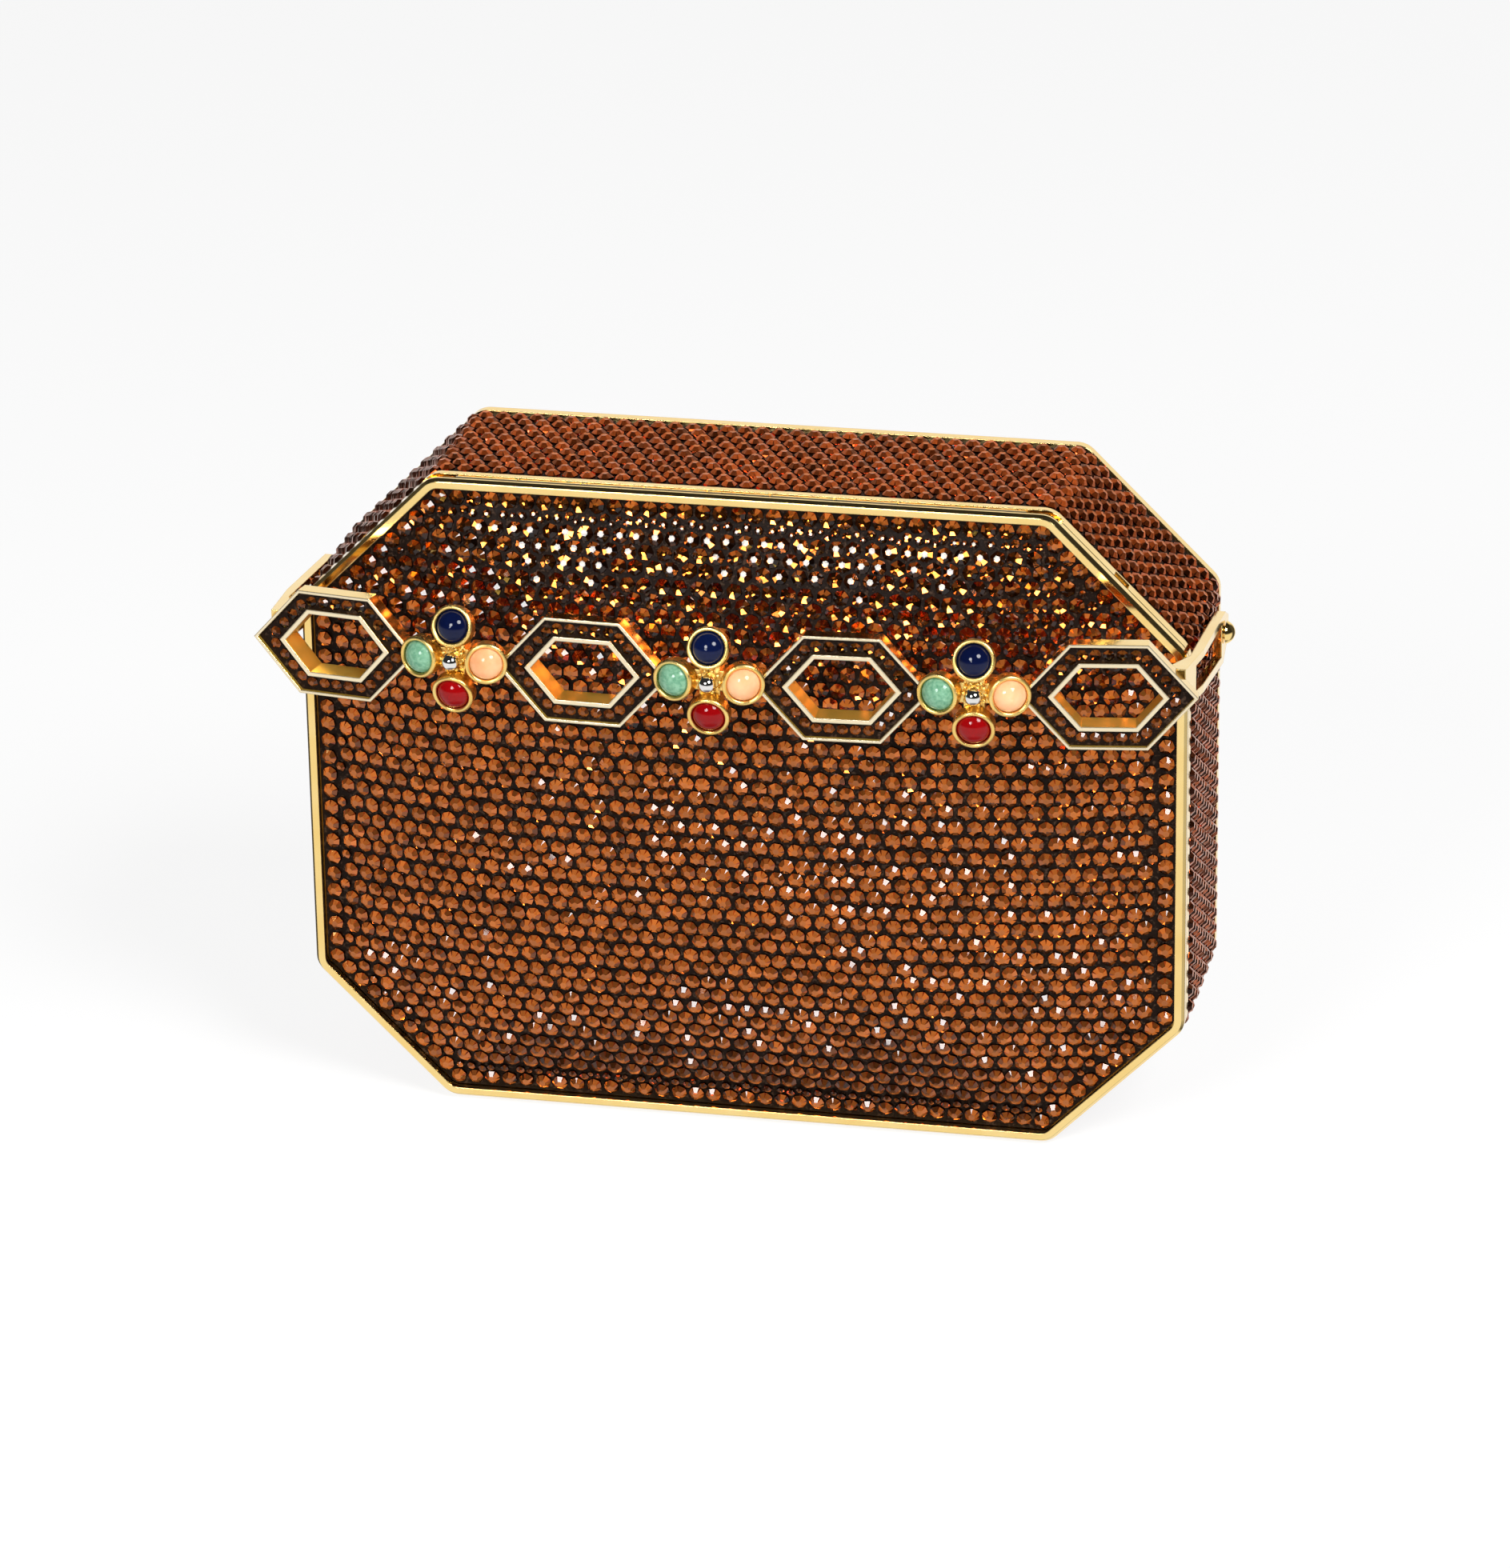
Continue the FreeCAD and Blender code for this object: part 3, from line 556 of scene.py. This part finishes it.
walk = outline_walk(-stone_proud, CORNER_RADIUS + stone_proud)
round_length = sum(run[0] for run in walk)
band_depth = band_high.y - band_low.y
rows = int((band_depth - 2 * CRYSTAL_RADIUS) / ROW_PITCH) + 1
first_row = band_low.y + (band_depth - (rows - 1) * ROW_PITCH) / 2
per_row = round(round_length / CRYSTAL_PITCH)
stud_low, stud_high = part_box("pivot_stud_right")
stud_y = (stud_low.y + stud_high.y) / 2
stud_z = (stud_low.z + stud_high.z) / 2
band_seats = []
for row in range(rows):
    for k in range(per_row):
        spot, outward = along_outline(walk, (k + row % 2 / 2) * round_length / per_row)
        seat = spot + Vector((0, first_row + row * ROW_PITCH, middle_z))
        from_stud = math.hypot(seat.y - stud_y, seat.z - stud_z)
        if abs(outward.x) > SIDE_FACING_LEAST and from_stud < STUD_RADIUS + CRYSTAL_RADIUS:
            continue
        band_seats.append((seat, outward, CRYSTAL_RADIUS))
band_glass = crystal_glass("band_crystal", BAND_SHINE, BAND_EDGE_TINT)
band = set_crystals("band_crystals", band_seats, BAND_STONE, band_glass, BAND_SEED)
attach(band, "case")
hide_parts("band_stones")


def round_the_case(place):
    """Outward direction of the octagon's side nearest to a point."""
    x = place.x
    z = place.z - middle_z
    slant = (abs(x) + abs(z) - half_width - half_height + CORNER_CUT) / math.sqrt(2)
    reaches = (abs(x) - half_width, abs(z) - half_height, slant)
    best = reaches.index(max(reaches))
    if best == 0:
        return Vector((math.copysign(1, x), 0, 0))
    if best == 1:
        return Vector((0, 0, math.copysign(1, z)))
    return Vector((math.copysign(1, x), 0, math.copysign(1, z))).normalized()


glue_bed("band_glue", "band_stones", round_the_case, "case")

# Crystals of the back
# The same stones cover the domed back plate in level rows, with one row that follows the rim.
# Small ones fill the gaps between the level rows and the border row.
FACE_INSET = 0.0018
BORDER_GAP = 0.00012
LEAST_FILLER = 0.00052
MOST_FILLER = 0.00125
FILLER_GAP = 0.00006
BORDER_LEAN_REACH = 0.0045
ROW_CLEAR = 0.93
FILLER_REACH = 2.2
FINE_STEP = 0.0004
PROBE_APART = 0.001
PROBE_FROM = 0.3
FACE_STONE = {"middle": (0.43, 0.115, 0.014), "table": (0.45, 0.120, 0.014),
              "kite": (0.48, 0.125, 0.022), "star": (0.35, 0.050, 0.006),
              "side": (0.08, 0.016, 0.004), "foot": (0.03, 0.010, 0.004)}
FACE_SHINE = 0.7
FACE_EDGE_TINT = (1, 0.85, 0.7, 1)
BACK_SEED = 23


def domed_face(node, outward):
    """Function that gives the point and the facing of a domed skin at (x, z), or None off it."""
    skin = BVHTree.FromObject(nodes[node], bpy.context.evaluated_depsgraph_get())
    far = Vector((0, outward * PROBE_FROM, 0))
    inwards = Vector((0, -outward, 0))
    probes = [(0, 0), (PROBE_APART, 0), (-PROBE_APART, 0), (0, PROBE_APART), (0, -PROBE_APART)]

    def look(x, z):
        found = None
        facing = Vector((0, 0, 0))
        for dx, dz in probes:
            hit, normal, _, _ = skin.ray_cast(Vector((x + dx, 0, z + dz)) + far, inwards)
            if hit is None:
                continue
            facing += normal
            if (dx, dz) == (0, 0):
                found = hit
        return (found, facing.normalized()) if found else None

    return look


def evenly_over(look, along_x, most, step):
    """Places from the middle outwards that lie one step apart over the dome, along x or along z."""
    places = [0.0]
    walked = 0.0
    here = 0.0
    last = look(0, middle_z)[0]
    while here < most:
        here += FINE_STEP
        found = look(here, middle_z) if along_x else look(0, middle_z + here)
        if found is None:
            break
        walked += (found[0] - last).length
        last = found[0]
        if walked >= step * len(places):
            places.append(here)
    return places


def inset_of(x, z):
    """How far a place lies inside the case's outline."""
    up = abs(z - middle_z)
    slant = (half_width + half_height - CORNER_CUT - abs(x) - up) / math.sqrt(2)
    return min(half_width - abs(x), half_height - up, slant)


def face_seats(look):
    """Seats over a domed face: a border row along the rim, level rows inside it, and small fillers."""
    border = FACE_INSET + BORDER_GAP + CRYSTAL_RADIUS
    places = []
    corners = octagon_corners(border)
    for i, corner in enumerate(corners):
        side = corners[(i + 1) % len(corners)] - corner
        count = round(side.length / CRYSTAL_PITCH)
        for k in range(count):
            spot = corner + side * (k / count)
            places.append((spot.x, spot.z + middle_z, CRYSTAL_RADIUS))
    half_steps = evenly_over(look, True, half_width - FACE_INSET, CRYSTAL_PITCH / 2)
    levels = evenly_over(look, False, half_height - FACE_INSET, ROW_PITCH)
    for row in range(1 - len(levels), len(levels)):
        z = middle_z + math.copysign(levels[abs(row)], row)
        for k in range(1 - len(half_steps), len(half_steps)):
            x = math.copysign(half_steps[abs(k)], k)
            if (k + row) % 2 == 0 and inset_of(x, z) > border + ROW_PITCH * ROW_CLEAR:
                places.append((x, z, CRYSTAL_RADIUS))
    seats = [seat_on(look, place) for place in places + fillers(places, border)]
    return [seat for seat in seats if seat]


def seat_on(look, place):
    """Seat on a domed face for (x, z, radius); the border row leans half as far as the dome beside it."""
    x, z, radius = place
    found = look(x, z)
    if found and inset_of(x, z) < FACE_INSET + 2 * CRYSTAL_RADIUS:
        inner = Vector((x, 0, z)) - round_the_case(Vector((x, 0, z))) * BORDER_LEAN_REACH
        found = (found[0], (found[1] + look(inner.x, inner.z)[1]).normalized())
    return (found[0], found[1], radius) if found else None


def fillers(places, border):
    """Small stones in the gaps inside the border row, the widest gaps first."""
    crystals = KDTree(len(places))
    for i, (x, z, _) in enumerate(places):
        crystals.insert((x, 0, z), i)
    crystals.balance()
    gaps = []
    for i in range(int(-half_width / FINE_STEP), int(half_width / FINE_STEP)):
        for k in range(int(-half_height / FINE_STEP), int(half_height / FINE_STEP)):
            x = i * FINE_STEP
            z = middle_z + k * FINE_STEP
            if not border < inset_of(x, z) < border + FILLER_REACH * ROW_PITCH:
                continue
            room = crystals.find((x, 0, z))[2] - CRYSTAL_RADIUS - FILLER_GAP
            if room > LEAST_FILLER:
                gaps.append((-room, x, z))
    small = []
    for room, x, z in sorted(gaps):
        radius = min(-room, MOST_FILLER)
        near = [math.hypot(x - sx, z - sz) - sr - FILLER_GAP for sx, sz, sr in small]
        radius = min([radius] + near)
        if radius > LEAST_FILLER:
            small.append((x, z, radius))
    return small


back_seats = face_seats(domed_face("back_stones", 1))
face_glass = crystal_glass("face_crystal", FACE_SHINE, FACE_EDGE_TINT)
back = set_crystals("back_crystals", back_seats, FACE_STONE, face_glass, BACK_SEED)
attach(back, "case")
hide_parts("back_stones")
glue_bed("back_glue", "back_stones", lambda place: Vector((0, 1, 0)), "case")

# Lining
# Thin metallic kid leather glued to the inside of the case and of the cover.
# It has a fine pebbled grain and has dulled a little where things rub.
KID_LIGHT = (0.62, 0.44, 0.20, 1)
KID_DARK = (0.45, 0.29, 0.11, 1)
KID_METAL = 0.45
KID_PEBBLES = 1400
KID_PEBBLE_HEIGHT = 0.00012
KID_RUBBING = 90
kid, tree, shader = new_material("gold_kid_leather")
shader.inputs["Metallic"].default_value = KID_METAL
pebbles = tree.nodes.new("ShaderNodeTexVoronoi")
pebbles.inputs["Scale"].default_value = KID_PEBBLES
where = tree.nodes.new("ShaderNodeTexCoord")
tree.links.new(where.outputs["Object"], pebbles.inputs["Vector"])
dulled = spread(tree, noise_on(tree, KID_RUBBING), 0, 1)
tree.links.new(blend_colours(tree, dulled, KID_LIGHT, KID_DARK), shader.inputs["Base Color"])
tree.links.new(spread(tree, noise_on(tree, 400), 0.38, 0.55), shader.inputs["Roughness"])
bump_on(tree, shader, pebbles.outputs["Distance"], KID_PEBBLE_HEIGHT, 0.7)
dress(("case_lining", "cover_lining"), kid)

# Chain eyes
# Two small gold plated loops on round feet inside the upper corner cuts.
# A shoulder chain hooks into them and drops into the case when it isn't used.
eye_gold = gold_plate("eye_gold", GOLD, GOLD_DEEP, FITTING_EDGE)
dress(("chain_eye_left", "chain_eye_right"), eye_gold)

# Hinge
# Fine drawn brass tube cut into knuckles, gold plated, with a drawn steel wire through them.
# It is sunk into the seam along the top edge between the cover and the case.
STEEL = (0.56, 0.54, 0.51, 1)
HINGE_GOLD = (0.97, 0.82, 0.50, 1)
KNUCKLE_EDGE = 0.00008
WIRE_LINES = 2000
WIRE_STRETCH = (0.02, 1, 1)
WIRE_LINE_DEPTH = 0.00001
hinge_gold = gold_plate("hinge_gold", HINGE_GOLD, GOLD, KNUCKLE_EDGE, smooth=0.25, rubbed=0.40)
dress(("hinge_knuckles_case", "hinge_knuckles_cover"), hinge_gold)
drawn_steel, tree, shader = new_material("drawn_steel")
shader.inputs["Metallic"].default_value = 1.0
shader.inputs["Base Color"].default_value = STEEL
lines = noise_on(tree, WIRE_LINES, 3, WIRE_STRETCH)
tree.links.new(spread(tree, lines, 0.22, 0.42), shader.inputs["Roughness"])
bump_on(tree, shader, lines, WIRE_LINE_DEPTH)
dress(("hinge_pin",), drawn_steel)

# Cover frame
# A cast and polished gold plated frame round the front, with a raised lip that holds the stones in.
# Its chamfered edge catches a dark line all round.
cover_gold = gold_plate("cover_gold", GOLD, GOLD_DEEP, FRAME_EDGE)
dress(("cover_frame",), cover_gold)

# Crystals of the cover
# The front is set like the back: a border row inside the lip, level rows over the dome, small fillers.
# Seen from the front their tables glow copper and some of their facets flash gold or white.
COVER_SEED = 37
front_seats = face_seats(domed_face("cover_stones", -1))
front = set_crystals("cover_crystals", front_seats, FACE_STONE, face_glass, COVER_SEED)
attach(front, "front_cover")
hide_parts("cover_stones")
glue_bed("cover_glue", "cover_stones", lambda place: Vector((0, -1, 0)), "front_cover")

# Links of the closing bar
# Four open hexagons cast in brass and gold plated, with a channel between two raised rails.
# The rails' fronts are polished, and every face that looks forward is painted paler as a highlight; the
# deep walls stay as cast and satin, painted a deeper yellow that is partly their own gold and partly
# painted reflection between the walls.
# painted highlight: faces of the links that look forward get this paler colour in place of the gold
RAIL_PAINTED_HIGHLIGHT = (0.92, 0.78, 0.53, 1)
# walls that face a link's middle: satin cast gold, painted deeper yellow, partly as painted reflection
# between the walls
WALL_GOLD_AND_REFLECTION = (0.95, 0.65, 0.12, 1)
WALL_DEEP_GOLD_AND_REFLECTION = (0.80, 0.48, 0.06, 1)
WALL_METAL = 0.75
WALL_ROUGHNESS = 0.30
WALL_FROM = -0.003
WALL_TO = -0.004
# how far forward a face looks before it takes the painted highlight
FORWARD_HIGHLIGHT_FROM = -0.75
FORWARD_HIGHLIGHT_TO = -0.95
LINK_EDGE = 0.00030
LINKS = (1, 2, 3, 4)
LINK_TIP = 0.0145
LINK_HALF_HEIGHT = 0.00895
LINK_FLAT = 0.0064
HOLE_TIP = 0.00882
HOLE_HALF_HEIGHT = 0.00505
HOLE_FLAT = 0.00445
OUTER_RAIL = 0.0005
INNER_RAIL = 0.00075
CHANNEL_DEPTH = 0.0012
BED_DEPTH = 0.00045
LINK_CRYSTAL = 0.00104
LINK_CRYSTAL_HEIGHT = 0.00095
LINK_CRYSTAL_TILT = math.radians(10)
LINK_SEED = 50
# painted shade: the link stones are painted at half the colour of the face stones, so that they look dark
# in the channels
LINK_STONE_PAINTED_SHADE = 0.5
SHADED_LINK_STONE = {kind: tuple(c * LINK_STONE_PAINTED_SHADE for c in colour) for kind, colour in FACE_STONE.items()}


def cast_link(name, middle):
    """Polished gold with a painted pale highlight on the faces that look forward, and satin yellow on the
    walls that face the link's own middle, partly painted reflection between the walls.
    """
    made, tree, shader = new_material(name)
    where = tree.nodes.new("ShaderNodeTexCoord")
    split = tree.nodes.new("ShaderNodeSeparateXYZ")
    tree.links.new(where.outputs["Normal"], split.inputs[0])
    forward_highlight = step_between(tree, split.outputs["Y"], FORWARD_HIGHLIGHT_FROM, FORWARD_HIGHLIGHT_TO, 0, 1)
    from_middle = tree.nodes.new("ShaderNodeVectorMath")
    from_middle.operation = "SUBTRACT"
    from_middle.inputs[1].default_value = middle
    tree.links.new(where.outputs["Object"], from_middle.inputs[0])
    outwards = tree.nodes.new("ShaderNodeVectorMath")
    outwards.operation = "DOT_PRODUCT"
    tree.links.new(from_middle.outputs[0], outwards.inputs[0])
    tree.links.new(where.outputs["Normal"], outwards.inputs[1])
    opening = step_between(tree, outwards.outputs["Value"], WALL_FROM, WALL_TO, 0, 1)
    cloud = spread(tree, noise_on(tree, GOLD_CLOUDS), 0, 1)
    # faces that look forward are painted pale: a painted highlight
    rails = blend_colours(tree, forward_highlight, blend_colours(tree, cloud, GOLD, GOLD_DEEP), RAIL_PAINTED_HIGHLIGHT)
    # walls painted a deeper yellow: satin gold, partly painted reflection between the walls
    walls = blend_colours(tree, cloud, WALL_GOLD_AND_REFLECTION, WALL_DEEP_GOLD_AND_REFLECTION)
    tree.links.new(blend_colours(tree, opening, rails, walls), shader.inputs["Base Color"])
    tree.links.new(step_between(tree, opening, 0, 1, 1.0, WALL_METAL), shader.inputs["Metallic"])
    satin = step_between(tree, opening, 0, 1, GOLD_RUBBED, WALL_ROUGHNESS)
    tree.links.new(satin, shader.inputs["Roughness"])
    bump_on(tree, shader, noise_on(tree, GOLD_RIPPLES), GOLD_UNEVEN, GOLD_UNEVEN_SHARE, LINK_EDGE)
    return made


for number in LINKS:
    low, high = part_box("link_%d" % number)
    dress(["link_%d" % number], cast_link("link_gold_%d" % number, (low + high) / 2))


def loose_solids(node):
    """Corner points of each separate solid in a node, from left to right."""
    mesh = bmesh.new()
    mesh.from_mesh(nodes[node].data)
    bmesh.ops.remove_doubles(mesh, verts=mesh.verts, dist=WELD)
    mesh.verts.ensure_lookup_table()
    mesh.verts.index_update()
    seen = set()
    solids = []
    for seed in mesh.verts:
        if seed.index in seen:
            continue
        seen.add(seed.index)
        waiting = [seed]
        points = []
        while waiting:
            vertex = waiting.pop()
            points.append(tuple(vertex.co))
            for link in vertex.link_edges:
                other = link.other_vert(vertex)
                if other.index not in seen:
                    seen.add(other.index)
                    waiting.append(other)
        solids.append(np.array(points))
    mesh.free()
    return sorted(solids, key=lambda points: tuple(points.mean(0)))


def hexagon(tip, half_height, flat, inset):
    """Corners (x, z) of a long hexagon, inset evenly on all sides."""
    slant = (tip - flat) / half_height
    tip -= inset * math.hypot(1, slant)
    half_height -= inset
    flat = tip - slant * half_height
    upper = [(tip, 0), (flat, half_height), (-flat, half_height)]
    return upper + [(-x, -z) for x, z in upper]


def channel_bed(name, middle, across, forward):
    """Ring of dark glue on the floor of a link's channel."""
    up = across.cross(-forward)
    outer = hexagon(LINK_TIP, LINK_HALF_HEIGHT, LINK_FLAT, OUTER_RAIL)
    inner = hexagon(HOLE_TIP, HOLE_HALF_HEIGHT, HOLE_FLAT, -INNER_RAIL)
    points = []
    for depth in (CHANNEL_DEPTH - BED_DEPTH, CHANNEL_DEPTH):
        for ring in (outer, inner):
            points += [middle + across * x + up * z - forward * depth for x, z in ring]
    count = len(outer)
    faces = []
    for i in range(count):
        k = (i + 1) % count
        front_out, front_in, back_out, back_in = 0, count, 2 * count, 3 * count
        faces.append((front_out + i, front_out + k, front_in + k, front_in + i))
        faces.append((back_out + k, back_out + i, back_in + i, back_in + k))
        faces.append((front_out + k, front_out + i, back_out + i, back_out + k))
        faces.append((front_in + i, front_in + k, back_in + k, back_in + i))
    mesh = bpy.data.meshes.new(name)
    mesh.from_pydata(points, [], faces)
    mesh.materials.append(glue)
    made = put_in_scene(name, mesh)
    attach(made, "closing_bar")


def channel_side(x, z):
    """Outward direction (x, z) of the hexagon's side that a place in the channel belongs to."""
    slant = Vector((LINK_HALF_HEIGHT, 0, LINK_TIP - LINK_FLAT)).normalized()
    slant_reach = (abs(x) - LINK_TIP) * slant.x + abs(z) * slant.z
    if abs(z) - LINK_HALF_HEIGHT > slant_reach:
        return 0, math.copysign(1, z)
    return math.copysign(slant.x, x), math.copysign(slant.z, z)


for number in LINKS:
    solids = loose_solids("link_stones_%d" % number)
    stones = [Vector(points.mean(0)) for points in solids]
    centre = sum(stones, Vector()) / len(stones)
    scatter = np.array(stones) - np.array(centre)
    axes = np.linalg.svd(scatter)[2]
    forward = Vector(axes[2]) if axes[2][1] < 0 else -Vector(axes[2])
    across = Vector(axes[0]) if axes[0][0] > 0 else -Vector(axes[0])
    lift = max((Vector(point) - centre).dot(forward) for point in np.concatenate(solids))
    up = across.cross(-forward)
    seats = []
    for stone in stones:
        out_x, out_z = channel_side((stone - centre).dot(across), (stone - centre).dot(up))
        outwards = across * out_x + up * out_z
        facing = forward * math.cos(LINK_CRYSTAL_TILT) + outwards * math.sin(LINK_CRYSTAL_TILT)
        seats.append((stone + forward * lift, facing, LINK_CRYSTAL))
    name = "link_crystals_%d" % number
    # the link stones carry painted shade: half the face stones' colour
    piece = set_crystals(name, seats, SHADED_LINK_STONE, face_glass, LINK_SEED + number)
    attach(piece, "closing_bar")
    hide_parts("link_stones_%d" % number)
    front_plane = centre + forward * (lift + CHANNEL_DEPTH - LINK_CRYSTAL_HEIGHT)
    channel_bed("link_glue_%d" % number, front_plane, across, forward)

# Flowers
# Cast gold plated crosses between the links, each with four cups round a post.
# A rolled bezel closes each cup over its stone.
BEZEL_RADIUS = 0.00315
BEZEL_THICK = 0.00040
BEZEL_ABOVE_SEAT = 0.0009
BEZEL_TURNS = 40
BEZEL_ROUNDS = 12
FLOWER_EDGE = 0.0003
FLOWER_UNEVEN = 0.00003
COLOURS = ("blue", "red", "green", "peach")
CAST_GOLD = (0.96, 0.70, 0.25, 1)
CAST_GOLD_DEEP = (0.90, 0.58, 0.15, 1)
flower_gold = gold_plate("flower_gold", CAST_GOLD, CAST_GOLD_DEEP, FLOWER_EDGE, 0.22, 0.36, FLOWER_UNEVEN)
dress(["flower_%d" % n for n in (1, 2, 3)], flower_gold)


def stone_axis(points):
    """Middle of a cabochon's flat seat and the way its dome faces."""
    spread_about = points - points.mean(0)
    values, vectors = np.linalg.eigh(spread_about.T @ spread_about)
    lone = 0 if values[1] - values[0] > values[2] - values[1] else 2
    axis = Vector(vectors[:, lone])
    if axis.y > 0:
        axis = -axis
    reach = spread_about @ np.array(axis)
    seat = points[reach < reach.min() + 1e-5].mean(0)
    return Vector(seat), axis


def join_into(name, build, material):
    """Smooth gold trim of the closing bar, from a mesh under construction."""
    mesh = bpy.data.meshes.new(name)
    build.to_mesh(mesh)
    build.free()
    mesh.polygons.foreach_set("use_smooth", [True] * len(mesh.polygons))
    mesh.materials.append(material)
    made = put_in_scene(name, mesh)
    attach(made, "closing_bar")


def add_ring(build, centre, axis, radius, thick):
    """Rolled ring round an axis."""
    side = axis.orthogonal().normalized()
    grid = []
    for i in range(BEZEL_TURNS):
        out = Quaternion(axis, 2 * math.pi * i / BEZEL_TURNS) @ side
        loop = []
        for k in range(BEZEL_ROUNDS):
            a = 2 * math.pi * k / BEZEL_ROUNDS
            spot = centre + out * (radius + thick * math.cos(a)) + axis * thick * math.sin(a)
            loop.append(build.verts.new(spot))
        grid.append(loop)
    for i in range(BEZEL_TURNS):
        for k in range(BEZEL_ROUNDS):
            j = (i + 1) % BEZEL_TURNS
            m = (k + 1) % BEZEL_ROUNDS
            build.faces.new((grid[i][k], grid[j][k], grid[j][m], grid[i][m]))


cabochons = {colour: [stone_axis(p) for p in loose_solids("cabochons_" + colour)] for colour in COLOURS}
bezels = bmesh.new()
for colour in COLOURS:
    for seat, axis in cabochons[colour]:
        add_ring(bezels, seat + axis * BEZEL_ABOVE_SEAT, axis, BEZEL_RADIUS, BEZEL_THICK)
join_into("flower_bezels", bezels, flower_gold)

# Beads at the middle of the flowers
# A polished white metal ball sits on each post, with fine gold grains soldered in a ring behind it.
WHITE_METAL = (0.80, 0.78, 0.75, 1)
GRAIN = 0.00040
GRAIN_RING = 0.00185
GRAINS = 10
polished_ball, tree, shader = new_material("polished_ball")
shader.inputs["Metallic"].default_value = 1.0
shader.inputs["Base Color"].default_value = WHITE_METAL
tree.links.new(spread(tree, noise_on(tree, 1500), 0.04, 0.10), shader.inputs["Roughness"])
dress(("flower_beads",), polished_ball)
grains = bmesh.new()
for points in loose_solids("flower_beads"):
    ball = Vector(points.mean(0))
    rear_y = points[:, 1].max()
    for k in range(GRAINS):
        a = 2 * math.pi * k / GRAINS
        spot = Vector((ball.x + GRAIN_RING * math.cos(a), rear_y, ball.z + GRAIN_RING * math.sin(a)))
        bmesh.ops.create_icosphere(grains, subdivisions=2, radius=GRAIN, matrix=Matrix.Translation(spot))
join_into("bead_grains", grains, flower_gold)

# Cabochons
# Round domed stones in four colours: dark blue, red, mottled green and pale peach.
# They are polished glass and hardstone, clear enough that light glows a little in the red and the peach.
GLOW_DEPTH = 0.0012
GLOW_REACH = (1.0, 0.6, 0.4)
# Each look is the dark colour, the light one, the share of glow inside and the mottling per metre.
STONE_LOOKS = {
    "blue": ((0.002, 0.004, 0.026, 1), (0.003, 0.008, 0.048, 1), 0.15, 60),
    "red": ((0.18, 0.001, 0.002, 1), (0.28, 0.002, 0.003, 1), 0.25, 120),
    "green": ((0.10, 0.27, 0.16, 1), (0.24, 0.45, 0.30, 1), 0.20, 1500),
    "peach": ((0.80, 0.34, 0.15, 1), (0.90, 0.52, 0.29, 1), 0.50, 220),
}
for colour, (dark, light, glow_share, scale) in STONE_LOOKS.items():
    polish, tree, shader = new_material("cabochon_" + colour)
    mottle = spread(tree, noise_on(tree, scale, 5), 0, 1)
    tree.links.new(blend_colours(tree, mottle, dark, light), shader.inputs["Base Color"])
    tree.links.new(spread(tree, noise_on(tree, 1200), 0.05, 0.12), shader.inputs["Roughness"])
    shader.inputs["Subsurface Weight"].default_value = glow_share
    shader.inputs["Subsurface Scale"].default_value = GLOW_DEPTH
    shader.inputs["Subsurface Radius"].default_value = GLOW_REACH
    shader.inputs["Specular IOR Level"].default_value = 0.15
    shader.inputs["Coat Weight"].default_value = 0.2
    shader.inputs["Coat Roughness"].default_value = 0.03
    dress(("cabochons_" + colour,), polish)

# Arms and pivots
# Slim gold plated frames run back from the end links along the case's sides to domed studs.
# A thin washer keeps each arm off the stones.
arm_gold = gold_plate("arm_gold", GOLD, GOLD_DEEP, LINK_EDGE)
dress(("arm_left", "arm_right"), arm_gold)
stud_gold = gold_plate("stud_gold", GOLD, GOLD_DEEP, FITTING_EDGE)
dress(("pivot_stud_left", "pivot_stud_right", "pivot_washer_left", "pivot_washer_right"), stud_gold)
